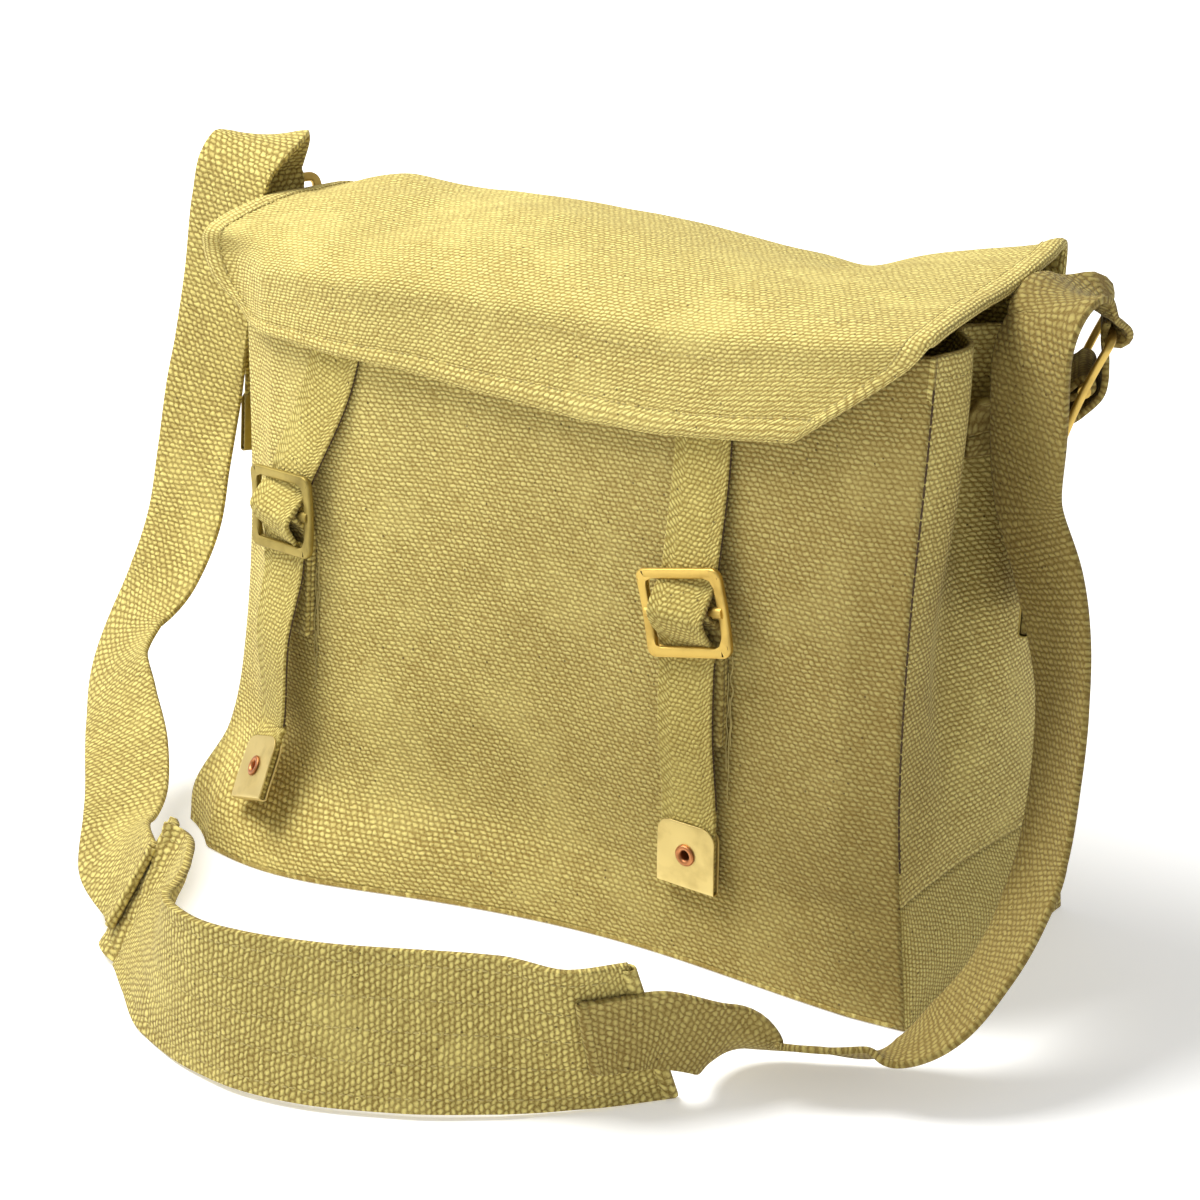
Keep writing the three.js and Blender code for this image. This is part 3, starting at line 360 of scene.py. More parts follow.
def weave_finish(name, light, dark, across, along, depth=0.00045, rib=0.0, right_shade_and_stain=0.0):
    """Canvas or webbing: soft oval yarn crests, staggered row by row on the cloth's own map,
    with painted shade in the gaps between the yarns. rib slants the rows at both edges of a tape;
    the last argument darkens and browns the cloth towards the right of the bag: painted shade, partly a
    stain."""
    finish = Finish(name, 0.95)
    flat = finish.node("ShaderNodeUVMap", {}, uv_map="cloth")
    level = finish.node("ShaderNodeSeparateXYZ", {"Vector": flat})
    climb = Shade(finish.tree, level.socket.node.outputs[1])
    aside = finish.node("ShaderNodeVectorMath", {0: finish.place(), 1: (4, 2, 7)}, operation="ADD")
    jitter = finish.speckle(280.0, 2.0)
    lurch = finish.speckle(240.0, 2.0, aside)
    drift = finish.speckle(30.0, 1.0)
    sway = finish.speckle(26.0, 1.0, aside)
    tape_middle, rib_start = 0.0125, 0.0068
    slant = ((level - tape_middle).size() - rib_start).most(0.0) * (rib / along) if rib else 0.0
    u = level / across + (jitter - 0.5) * 1.15 + (drift - 0.5) * 0.9
    v = climb / along + (lurch - 0.5) * 0.95 + (sway - 0.5) * 0.9 + slant
    row = v.floor()
    shifted = u + row * 0.5
    cell = shifted.floor() * 0.37 + row * 0.71
    yarn = finish.node("ShaderNodeTexWhiteNoise", {"W": cell}, noise_dimensions="1D")
    up = v.part() - 0.5
    fu = (shifted.part() - 0.5 + up * 0.3) * 1.95
    fv = up * 2.1
    crest = (1.0 - fu * fu - fv * fv).most(0.0) * (yarn * 0.6 + 0.68)
    cloudy = finish.speckle(9.0, 3.0)
    patch = finish.speckle(42.0, 3.0)
    hair = finish.speckle(1300.0, 3.0)
    # The yarns' crests take the light colour and the gaps between them the other one, which is painted shade
    # between the yarns.
    share = crest * 0.86 + (cloudy - 0.5) * 0.16 + (patch - 0.5) * 0.2 + (hair - 0.5) * 0.8 + 0.12
    colour = finish.blend(share.most(0.0).least(1.0), dark, light)
    worn = finish.speckle(24.0, 4.0)
    pale = tuple(min(1, value * 1.12 + 0.01) for value in light)
    colour = finish.blend(((worn - 0.55) * 2.0).most(0.0).least(0.12), colour, pale)
    # Painted shade, partly a stain: the cloth darkens and browns towards the bag's right side, away from the
    # lamps.
    if right_shade_and_stain:
        spot = finish.node("ShaderNodeSeparateXYZ", {"Vector": finish.place()})
        toward_right = (spot * 3.6 + 0.32).most(0.0).least(1.0)
        colour = finish.blend(toward_right * right_shade_and_stain, colour, (0.13, 0.078, 0.016))
    spots = {"Vector": finish.place(), "Scale": 190.0}
    cells = finish.node("ShaderNodeTexVoronoi", spots, feature="F1")
    spread = finish.speckle(37.0, 1.0)
    fleck = (0.1 - cells).over(0.0) * (spread - 0.52).over(0.0)
    colour = finish.blend(fleck * 0.75, colour, (0.08, 0.05, 0.015))
    finish.give("Base Color", colour)
    finish.raise_by(crest * 0.8 + patch * 0.25 + hair * 0.22, depth)
    finish.shader.inputs["Sheen Weight"].default_value = 0.06
    finish.shader.inputs["Sheen Roughness"].default_value = 0.5
    finish.shader.inputs["Specular IOR Level"].default_value = 0.2
    return finish.material


# The yarns' own colour, and painted shade for the gaps between the yarns.
canvas_light = (0.79, 0.68, 0.235)
canvas_gap_shade = (0.27, 0.18, 0.04)
# Three copies of one canvas that differ only in painted shade towards the bag's right side, partly a stain:
# much on the front, a little on the sides and back, none on the flap.
canvas = weave_finish("khaki_canvas", canvas_light, canvas_gap_shade, 0.0028, 0.0019, right_shade_and_stain=0.6)
side_canvas = weave_finish("side_canvas", canvas_light, canvas_gap_shade, 0.0028, 0.0019, right_shade_and_stain=0.1)
flap_canvas = weave_finish("flap_canvas", canvas_light, canvas_gap_shade, 0.0028, 0.0019)


def thread_finish(name, colour, shade):
    """Sewing thread, darker where it is dirty."""
    finish = Finish(name, 0.9)
    dirt = finish.speckle(210.0, 3.0)
    finish.give("Base Color", finish.blend(dirt, colour, shade))
    finish.raise_by(dirt, 0.0002)
    return finish.material


pale_thread = thread_finish("khaki_thread", (0.62, 0.52, 0.19), (0.24, 0.17, 0.05))
# Near-black thread: real stitches across the right shoulder strap's end, but also the painted shade of the
# corner seam and the painted shadow beside the closure tapes.
dark_thread_and_shade = thread_finish("dark_thread_and_shade", (0.1, 0.06, 0.02), (0.03, 0.016, 0.006))


def placed(place, *axes):
    """Matrix with its three axes along given ways, at a place."""
    return Matrix.Translation(place) @ Matrix(axes).transposed().to_4x4()


def sew(name, surface, runs, pitch, long, wide, finish):
    """One low bead for each stitch along straight runs of a surface's two shares.
    surface gives a place and its way out of the cloth."""
    mesh = bmesh.new()
    steps = 240
    shares = [step / steps for step in range(steps + 1)]
    for start, end in runs:
        path = [surface(mix(start[0], end[0], share), mix(start[1], end[1], share)) for share in shares]
        gone = 0
        for (before, out), (place, after) in zip(path, path[1:]):
            gone += (place - before).length
            if gone < pitch:
                continue
            gone -= pitch
            along = (place - before).normalized()
            side = out.cross(along).normalized()
            basis = placed(place, along * long / 2, side * wide / 2, along.cross(side) * -wide / 2)
            bmesh.ops.create_uvsphere(mesh, u_segments=6, v_segments=4, radius=1.0, matrix=basis)
    bmesh.ops.recalc_face_normals(mesh, faces=mesh.faces)
    for face in mesh.faces:
        face.smooth = True
    to_object(name, mesh, finish, [])


def panel(node, side, columns, rows, lowest, finish):
    width = (wall_point(side, 1, 0.5) - wall_point(side, 0, 0.5)).length
    tall = height * (1 - lowest)
    mesh = cloth_grid(
        columns, rows,
        lambda across, along: wall_point(side, across, mix(lowest, 1, along), True),
        lambda across, along: (across * width, along * tall),
    )
    piece = to_object(f"{node}_cloth", mesh, finish, [node])
    thicken(piece, cloth)
    return piece


# Each wall is cut with 15 mm to turn in at every seam
front_panel = panel("front_panel", front, 150, 110, 0, canvas)
back_panel = panel("back_panel", back, 90, 70, 0, side_canvas)
gusset_right = panel("side_gusset_right", right, 70, 90, turn_share, side_canvas)
gusset_left = panel("side_gusset_left", left, 70, 90, turn_share, side_canvas)

# Base strip
# One strip of the same canvas runs under the bag and turns up at both ends,
# where it is sewn to the gussets in a level seam.
base_middle = 60
base_turn = 16
base_columns = base_middle + 2 * base_turn
base_length = half_width * 2 + 2 * turn_share * height


def base_point(across, deep):
    column = across * base_columns
    if column < base_turn:
        return wall_point(left, 1 - deep, turn_share * (1 - column / base_turn), True)
    if column > base_turn + base_middle:
        return wall_point(right, deep, turn_share * (column - base_turn - base_middle) / base_turn, True)
    along = (column - base_turn) / base_middle
    near, far = wall_point(front, along, 0), wall_point(back, 1 - along, 0)
    return near.lerp(far, deep)


base_mesh = cloth_grid(
    base_columns, 24, base_point,
    lambda across, deep: (across * base_length, deep * half_depth * 2),
)
base_piece = to_object("base_strip_cloth", base_mesh, side_canvas, ["base_strip"])
thicken(base_piece, cloth, 1.0)


def gusset_spot(along, up):
    place = wall_point(right, along, up, True)
    ahead = wall_point(right, min(along + 0.02, 1), up) - wall_point(right, max(along - 0.02, 0), up)
    return place, ahead.cross(Vector((0, 0, 1))).normalized()


def corner_spot(along, up):
    place, out = gusset_spot(along, up)
    return place + out * 0.0003, (out + Vector((0, -1, 0))).normalized()


pitch = 0.0036
# Real stitches on the front right corner; their near-black colour is painted shade of the groove between the
# panels.
corner = [((0.004, 0.235), (0.004, 0.96))]
sew("corner_seam_thread_and_shade", corner_spot, corner, 0.0027, 0.0031, 0.0011, dark_thread_and_shade)
level_seams = [((0.04, up), (0.95, up)) for up in (turn_share + 0.012, 0.965)]
sew("gusset_seam_thread", gusset_spot, level_seams, pitch, 0.0022, 0.0008, pale_thread)

# Flap
# The lid is one piece of canvas sewn to the back, folded over the mouth, with its edges
# turned under twice and stitched, and its front corners cut off at a slant.
flap_cloth = 0.0022
flap_overhang = 0.005
tape_thickness = 0.002
flap_stand_off = tape_thickness + 6 * gap + flap_cloth
# Share along, heights at five places across, depth, left and right reach, wall that it rests on
flap_rows = [
    (0, 0.915, 0.93, 0.94, 0.94, 0.94, 1, -0.99, 0.93, back),
    (0.1, 0.96, 0.985, 0.985, 0.975, 1.0, 1, -1, 0.94, back),
    (0.18, 0.988, 1.022, 1.02, 1.004, 1.07, 0.92, -1, 0.945, None),
    (0.3, 1.0, 1.035, 1.036, 1.02, 1.076, 0.5, -1, 0.98, None),
    (0.46, 1.01, 1.03, 1.042, 1.035, 1.058, -0.05, -0.99, 0.985, None),
    (0.62, 0.99, 1.012, 1.022, 1.025, 1.052, -0.58, -0.99, 0.99, None),
    (0.76, 0.95, 0.972, 0.982, 0.996, 1.038, -1, -1.005, 0.995, front),
    (0.86, 0.898, 0.918, 0.923, 0.934, 0.986, -1, -0.966, 0.93, front),
    (1, 0.847, 0.846, 0.831, 0.828, 0.862, -1, -0.84, 0.685, front),
]
# Share across, share along, the two spreads and the lift as a share of half the depth
flap_folds = [
    (0.1, 0.2, 0.07, 0.16, 0.1),
    (0.77, 0.2, 0.05, 0.2, -0.06),
    (0.25, 0.5, 0.05, 0.16, -0.05),
    (0.42, 0.44, 0.1, 0.14, 0.03),
    (0.6, 0.4, 0.08, 0.2, -0.025),
]


search_turns = 15


def place_on(side, across, high):
    """Share along a wall and share of its height at a place across the body and a height."""
    low, top = 0.0, 1.0
    rims = (walls[side][2], walls[(side + 1) % 4][2])
    for turn in range(search_turns):
        middle = (low + top) / 2
        up = min(high / (height * mix(*rims, middle)), 1)
        before = wall_point(side, middle, up).x < across
        if before == (side == front):
            low = middle
        else:
            top = middle
    return low, min(high / (height * mix(*rims, low)), 1)


def wall_face(side, across, high):
    return wall_point(side, *place_on(side, across, high)).y


@functools.lru_cache(maxsize=None)
def flap_point(across, along):
    reach = mix(
        smooth_column(flap_rows, 7, along) * half_width - flap_overhang,
        smooth_column(flap_rows, 8, along) * half_width + flap_overhang,
        across,
    )
    heights = [(index / 4, smooth_column(flap_rows, index + 1, along)) for index in range(5)]
    high = smooth_column(heights, 1, across) * height
    depths = []
    for row in flap_rows:
        if row[9] == front:
            depths.append((row[0], wall_face(front, reach, high) - flap_stand_off))
        elif row[9] == back:
            depths.append((row[0], wall_face(back, reach, high) + gap + flap_cloth))
        else:
            depths.append((row[0], row[6] * half_depth))
    lift = sum(
        bell((across - place) / wide) * bell((along - far) / long) * amount
        for place, far, wide, long, amount in flap_folds
    )
    point = Vector((reach, smooth_column(depths, 1, along), high + lift * half_depth))
    ripple = noise.noise(Vector((point.x * 22, along * 9, 5))) * 0.0009
    fine = noise.noise(Vector((point.x * 55, along * 24, 9))) * 0.0004
    inner = min(1, across / 0.03, (1 - across) / 0.03)
    return point + Vector((0, -0.4 if along > 0.7 else 0, 1)) * (ripple + fine) * inner


flap_length = 0.188
flap_mesh = cloth_grid(
    130, 90, flap_point,
    lambda across, along: (across * (2 * half_width + 2 * flap_overhang), along * flap_length),
)
flap = to_object("flap_cloth", flap_mesh, flap_canvas, ["flap"])
thicken(flap, flap_cloth, 1.0)

hem_wide = 0.0095
hem_start = 0.12
# Place inward from the flap's edge and height over its face, in millimetres, round the rolled hem
hem_section = [
    (9.5, -0.3), (8.5, 0.5), (6, 1.1), (3, 1.3), (0.8, 1.1), (-0.6, 0.2),
    (-0.9, -1.1), (-0.4, -2.4), (1.5, -3.0), (5, -3.0), (9, -2.6), (9.5, -1.8),
]
hem_legs = [(0, hem_start), (0, 1), (1, 1), (1, hem_start)]
hem_shares = [0, 0.28, 0.72, 1]


@functools.lru_cache(maxsize=None)
def hem_frame(share):
    """Place of the flap's edge, the way in to the end of the hem and the way out of the face."""
    leg = 0 if share < hem_shares[1] else 1 if share < hem_shares[2] else 2
    step = (share - hem_shares[leg]) / (hem_shares[leg + 1] - hem_shares[leg])
    across = mix(hem_legs[leg][0], hem_legs[leg + 1][0], step)
    along = mix(hem_legs[leg][1], hem_legs[leg + 1][1], step)
    in_across = min(max(across, hem_wide / 0.35), 1 - hem_wide / 0.35)
    in_along = min(along, 1 - hem_wide / flap_length)
    edge, inner = flap_point(across, along), flap_point(in_across, in_along)
    near, far = min(in_across, 0.98), min(in_along, 0.98)
    over = flap_point(near, far + 0.01) - flap_point(near, far - 0.01)
    level = flap_point(near + 0.01, far) - flap_point(near - 0.01, far)
    return edge, inner - edge, over.cross(level).normalized()


def hem_point(around, share):
    edge, inward, out = hem_frame(share)
    deep, high = hem_section[round(around * len(hem_section)) % len(hem_section)]
    return edge + inward * deep / 9.5 + out * high / 1000


hem_size = (0.75, 0.026)
hem_mesh = cloth_grid(
    len(hem_section), 330, hem_point, lambda around, share: (share * hem_size[0], around * hem_size[1]),
)
bmesh.ops.remove_doubles(hem_mesh, verts=hem_mesh.verts, dist=1e-6)
bmesh.ops.holes_fill(hem_mesh, edges=[edge for edge in hem_mesh.edges if edge.is_boundary], sides=0)
bmesh.ops.recalc_face_normals(hem_mesh, faces=hem_mesh.faces)
hem = to_object("flap_hem", hem_mesh, flap_canvas, [])


def hem_stitch(share, deep):
    edge, inward, out = hem_frame(share)
    return edge + inward * deep / hem_wide + out * 0.0004, out


def face_stitch(across, along):
    place = flap_point(across, along)
    over = flap_point(across, along - 0.01) - place
    if across < 0.9:
        level = flap_point(across + 0.01, along) - place
    else:
        level = place - flap_point(across - 0.01, along)
    return place, level.cross(over).normalized()


around_hem = [((0.01, 0.0088), (0.99, 0.0088))]
sew("flap_hem_thread", hem_stitch, around_hem, 0.0034, 0.0023, 0.0009, pale_thread)
lines = [((0.03, 0.885), (0.3, 0.855)), ((0.5, 0.82), (0.8, 0.835)), ((0.84, 0.69), (0.97, 0.72))]
sew("flap_face_thread", face_stitch, lines, pitch, 0.0022, 0.0006, pale_thread)


# Flap straps
# Two 25 mm webbing straps come out from under the flap's front edge, run through a brass
# buckle on the front panel and hang down to a folded brass tip with a copper eyelet.
route_steps = 800


class Route:
    """Middle line of a band through rows of points, each with the direction across the band, the share
    of its width that gathers leave and the slant of the row."""

    def __init__(self, rows):
        self.places = [Vector(row[0]) for row in rows]
        self.sides = [Vector(row[1]).normalized() for row in rows]
        self.spans = len(rows) - 1
        full = [row if len(row) == 4 else (*row, 1, 0) for row in rows]
        self.shapes = [(index / self.spans, row[2], row[3]) for index, row in enumerate(full)]
        points = [self.through(self.places, step / route_steps) for step in range(route_steps + 1)]
        self.gone = [0.0]
        for a, b in zip(points, points[1:]):
            self.gone.append(self.gone[-1] + (b - a).length)

    def through(self, points, share):
        count = len(points)
        spot = (count - 1) * share
        index = min(int(spot), count - 2)
        weight = spot - index
        p1, p2 = points[index], points[index + 1]
        p0 = points[index - 1] if index > 0 else p1 * 2 - p2
        p3 = points[index + 2] if index + 2 < count else p2 * 2 - p1
        d1 = (p1 - p2).length_squared ** 0.25 or 1.0
        d0 = (p0 - p1).length_squared ** 0.25
        d2 = (p2 - p3).length_squared ** 0.25
        d0 = d1 if d0 < 1e-4 else d0
        d2 = d1 if d2 < 1e-4 else d2
        leave = ((p1 - p0) / d0 - (p2 - p0) / (d0 + d1) + (p2 - p1) / d1) * d1
        arrive = ((p2 - p1) / d1 - (p3 - p1) / (d1 + d2) + (p3 - p2) / d2) * d1
        square, cube = weight * weight, weight ** 3
        start = p1 * (2 * cube - 3 * square + 1) + leave * (cube - 2 * square + weight)
        return start + p2 * (3 * square - 2 * cube) + arrive * (cube - square)

    def at(self, share):
        """Place, direction along, direction across and direction out of the face."""
        small = 1e-4
        before = self.through(self.places, max(share - small, 0))
        after = self.through(self.places, min(share + small, 1))
        along = (after - before).normalized()
        side = self.through(self.sides, share)
        side = (side - along * side.dot(along)).normalized()
        return self.through(self.places, share), along, side, side.cross(along).normalized()

    def spot(self, across, share, width, lift=0.0):
        """Point of the band's face; across runs from 0 to 1."""
        place, along, side, face = self.at(share)
        reach = (across - 0.5) * width * smooth_column(self.shapes, 1, share)
        return place + side * reach + along * reach * smooth_column(self.shapes, 2, share) + face * lift

    def face_spot(self, width, lift):
        """Surface for stitches on the band's face."""
        return lambda across, share: (self.spot(across, share, width, lift), self.at(share)[3])

    def length(self):
        return self.gone[-1]

    def distance(self, share):
        """Distance along the band at a share of its route."""
        index = min(int(share * route_steps), route_steps - 1)
        return mix(self.gone[index], self.gone[index + 1], share * route_steps - index)

    def share_at(self, distance):
        """Share of the route at a distance along it."""
        index = bisect.bisect_right(self.gone, distance) - 1
        index = min(max(index, 0), route_steps - 1)
        part = (distance - self.gone[index]) / (self.gone[index + 1] - self.gone[index])
        return min(max((index + part) / route_steps, 0), 1)


def punch(mesh, centre, axis, radius):
    """Takes the faces away round an eyelet's bore."""
    near = []
    for face in mesh.faces:
        step = face.calc_center_median() - centre
        if step.length < radius * 3 and (step - axis * step.dot(axis)).length < radius:
            near.append(face)
    bmesh.ops.delete(mesh, geom=near, context="FACES")


def band(name, route, width, thickness, material, node, steps, columns=8, relief=None, bore=None):
    """Webbing with its edges close together, so that they shade as a woven edge."""
    edge = 0.0006 / width

    def shares(across):
        if across < 0.001:
            return 0.0
        if across > 0.999:
            return 1.0
        return mix(edge, 1 - edge, (across * columns - 1) / (columns - 2))

    def surface(across, share):
        return route.spot(across, share, width, relief(across) if relief else 0.0)

    mesh = cloth_grid(
        columns, route.spans * steps, surface,
        lambda across, share: (shares(across) * width, route.distance(share)), shares,
    )
    if bore:
        place, along, side, face = route.at(1)
        punch(mesh, place - along * bore / 2, face, 0.0034)
    piece = to_object(name, mesh, material, [node])
    thicken(piece, thickness, 0.0)
    return piece


def rest_on(side, place, width, lift):
    """Row of a band that lies on a wall, clear of it over the band's whole width."""
    along, up = place
    at = wall_point(side, along, up)
    length = (wall_point(side, 1, up) - wall_point(side, 0, up)).length
    reach = width / 2 / length
    across = wall_point(side, along + reach, up) - wall_point(side, along - reach, up)
    across.z = 0
    across.normalize()
    out = Vector((across.y, -across.x, 0))
    ways = (-1.3, -1, -0.75, -0.5, -0.25, 0.25, 0.5, 0.75, 1, 1.3)
    proud = max([0] + [(wall_point(side, along + way * reach, up) - at).dot(out) for way in ways])
    return at + out * (lift + proud), across


def strap_through(tall, thickness, slip=0):
    """Places along and out of a buckle that a strap passes through; slip is how far
    a rolled buckle's bars lie along the strap at its edges."""
    slip_lift = 0.18
    behind = -(rod / 2 + gap + thickness / 2)
    over = bar_thickness / 2 + gap + thickness + gap + thickness / 2 + slip * slip_lift
    bar = (tall - rod) / 2 - slip
    half = mix(behind, over, 0.62)
    return [
        (bar + 0.004, behind - 0.0005), (bar, behind), (bar * 0.5, half),
        (0, over), (-bar * 0.5, half), (-bar, behind),
    ]


def chape_behind(tall, thickness, share):
    step = 2 * gap + thickness
    behind = -(rod / 2 + gap + thickness / 2)
    along = -(tall - rod) * share
    return (along, behind - step), (along, behind - 2 * step)


def chape(name, node, width, thickness, bar, up, out, side, outer, inner):
    """Short band folded round a buckle's centre bar, sewn down in two layers."""
    radius = bar_thickness / 2 + gap + thickness / 2
    rows = list(reversed(outer))
    for degrees in (-75, -25, 25, 75, 125, 175):
        angle = math.radians(degrees)
        rows.append((bar + up * math.sin(angle) * radius + out * math.cos(angle) * radius, side))
    rows += inner
    band(name, Route(rows), width, thickness, webbing, node, 6)


def tube(name, surface, around, rows, finish):
    """Closed round tube whose surface takes a share around and a share along."""
    mesh = cloth_grid(around, rows, surface, lambda turn, share: (share * 0.04, turn * 0.01))
    bmesh.ops.remove_doubles(mesh, verts=mesh.verts, dist=1e-7)
    bmesh.ops.recalc_face_normals(mesh, faces=mesh.faces)
    return to_object(name, mesh, finish, [])


def loose_thread(name, spots, radius):
    """Thin strand through a few places."""
    route = Route([(spot, Vector((0.3, 0.25, 0.92))) for spot in spots])

    def surface(turn, share):
        place, along, side, face = route.at(share)
        angle = turn * math.tau
        return place + (side * math.cos(angle) + face * math.sin(angle)) * radius

    tube(name, surface, 5, len(spots) * 4, pale_thread)


def rolled_end(name, route, width, share, high, wide, lift, finish):
    """The end of a band rolled over on itself and open at both sides."""

    def surface(turn, across):
        angle = turn * math.tau
        along = route.at(share)[1]
        place = route.spot(across, share, width, lift + math.sin(angle) * high)
        return place + along * math.cos(angle) * wide

    thicken(tube(name, surface, 14, 20, finish), 0.0009)


# The yarns' own colour, and painted shade for the gaps between the yarns.
webbing_light = (0.7, 0.59, 0.19)
webbing_gap_shade = (0.21, 0.14, 0.03)
# The straps' webbing darkens towards the bag's right side as painted shade, partly a stain; the pad's
# webbing does not.
webbing = weave_finish("khaki_webbing", webbing_light, webbing_gap_shade, 0.0031, 0.0022, right_shade_and_stain=0.55)
pad_webbing = weave_finish("pad_webbing", webbing_light, webbing_gap_shade, 0.0026, 0.0021)
# The yarns' own colour, and painted shade for the gaps between the yarns.
tape_light = (0.68, 0.575, 0.18)
tape_gap_shade = (0.25, 0.175, 0.034)
# The closure tape darkens a little towards the bag's right side: painted shade, partly a stain.
tape = weave_finish("closure_tape", tape_light, tape_gap_shade, 0.0022, 0.0019, 0.0004, 0.9, 0.2)

facet_slack = 0.0004
rod = 0.0034
bow = 0.0022
bar_thickness = 0.003
tape_width = 0.025
tape_buckle = (0.040, 0.035, 0.004)
tip_length = 0.027
tip_sheet = 0.0007
closure_buckle_height = 0.151
closure_tip_height = 0.035
closure_chape_length = 0.053
strap_top = height * 0.9
flap_edge_height = height * 0.87
closure_lay = gap + facet_slack + tape_thickness / 2
closure_buckle_out = closure_lay + 2 * (2 * gap + tape_thickness) + tape_thickness / 2 + gap + rod / 2
eyelet_rim = 0.0006
closure_tip_out = tape_thickness / 2 + gap + tip_sheet + gap + eyelet_rim + gap + facet_slack


def brass_finish(name, bright, dull, share, rough):
    finish = Finish(name, rough, 1.0)
    tarnish = finish.speckle(70.0, 5.0)
    rub = finish.speckle(320.0, 3.0)
    stained = ((tarnish - share) * 3.0).most(0.0).least(1.0)
    finish.give("Base Color", finish.blend(stained, bright, dull))
    finish.give("Roughness", rough + tarnish * 0.2 + rub * 0.1)
    finish.raise_by(rub * 0.5 + tarnish, 0.00008)
    return finish.material


brass = brass_finish("worn_brass", (0.66, 0.46, 0.12), (0.34, 0.21, 0.05), 0.5, 0.3)
dull_brass = brass_finish("dull_brass", (0.4, 0.31, 0.09), (0.2, 0.15, 0.04), 0.42, 0.4)
sheet_brass = brass_finish("sheet_brass", (0.72, 0.58, 0.24), (0.45, 0.34, 0.12), 0.5, 0.33)
copper = brass_finish("eyelet_copper", (0.56, 0.24, 0.1), (0.25, 0.1, 0.04), 0.5, 0.3)


def buckle(name, node, size, centre, level, up, finish):
    """Cast brass frame, flat and a little bowed, with a centre bar between two lugs."""
    wide, tall, corner = size
    mesh = bmesh.new()
    bmesh.ops.create_grid(mesh, x_segments=1, y_segments=1, size=0.5)
    bmesh.ops.scale(mesh, vec=(wide, tall, 1), verts=mesh.verts)
    bmesh.ops.bevel(
        mesh, geom=mesh.verts[:], offset=corner, segments=6, profile=0.5, affect="VERTICES", material=-1,
    )
    inside = mesh.faces[:]
    bmesh.ops.inset_region(mesh, faces=inside, thickness=rod * 1.22, use_boundary=True, use_even_offset=True)
    bmesh.ops.delete(mesh, geom=inside, context="FACES_ONLY")
    edges = [edge for edge in mesh.edges if edge.calc_length() > tall * 0.3]
    bmesh.ops.subdivide_edges(mesh, edges=edges, cuts=7, use_grid_fill=True)
    half = tall / 2
    for point in mesh.verts:
        point.co.z = bow * ((point.co.y / half) ** 2 - 1) / 2 - rod / 2
    front_faces = bmesh.ops.extrude_face_region(mesh, geom=mesh.faces[:])["geom"]
    raised = [item for item in front_faces if isinstance(item, bmesh.types.BMVert)]
    bmesh.ops.translate(mesh, vec=(0, 0, rod * 0.85), verts=raised)
    bmesh.ops.recalc_face_normals(mesh, faces=mesh.faces)
    sharp = [edge for edge in mesh.edges if len(edge.link_faces) == 2 and edge.calc_face_angle() > 1.0]
    bmesh.ops.bevel(mesh, geom=sharp, offset=0.0009, segments=3, profile=0.5, affect="EDGES", material=-1)
    across = Matrix.Rotation(math.pi / 2, 4, "Y")
    for place, radius, depth in (
        (0, bar_thickness / 2, wide - rod),
        (wide / 2 - rod * 1.15, 0.0024, rod * 1.3),
        (rod * 1.15 - wide / 2, 0.0024, rod * 1.3),
    ):
        bmesh.ops.create_cone(
            mesh, cap_ends=True, segments=16, radius1=radius, radius2=radius, depth=depth,
            matrix=Matrix.Translation((place, 0, -bow / 2)) @ across,
        )
    bmesh.ops.transform(mesh, matrix=placed(centre, level, up, level.cross(up)), verts=mesh.verts)
    for face in mesh.faces:
        face.smooth = True
    piece = to_object(name, mesh, finish, [node])
    piece.data.set_sharp_from_angle(angle=math.radians(50))


def tip(name, node, route, width, length, thickness, finish):
    """Thin sheet brass folded over the strap's end, with its upper corners rounded off."""
    place, along, side, face = route.at(1)
    up = -along
    reach = thickness / 2 + gap + tip_sheet / 2
    half = width / 2 + gap + tip_sheet
    corner = 0.006
    turn = math.pi * reach
    total = 2 * length + turn

    def surface(across, share):
        gone = share * total
        from_end = min(gone, total - gone)
        if gone < length:
            spot = up * (length - gone) + face * reach
        elif gone > length + turn:
            spot = up * (gone - length - turn) - face * reach
        else:
            angle = (gone - length) / reach
            spot = face * math.cos(angle) * reach - up * math.sin(angle) * reach * 0.45
        narrow = corner - math.sqrt(max(corner ** 2 - max(corner - from_end, 0) ** 2, 0))
        wave = math.sin(gone * 260 + across * 5) * 0.00008
        return place + side * (across - 0.5) * 2 * (half - narrow) + spot + face * wave

    mesh = cloth_grid(32, 84, surface, lambda across, share: (across * width, share * total))
    punch(mesh, place + up * length / 2, face, 0.0029)
    piece = to_object(name, mesh, finish, [node])
    thicken(piece, tip_sheet, 0.0)
    rounding = piece.modifiers.new("rounding", "BEVEL")
    rounding.width = 0.0001
    rounding.segments = 2
    rounding.limit_method = "ANGLE"


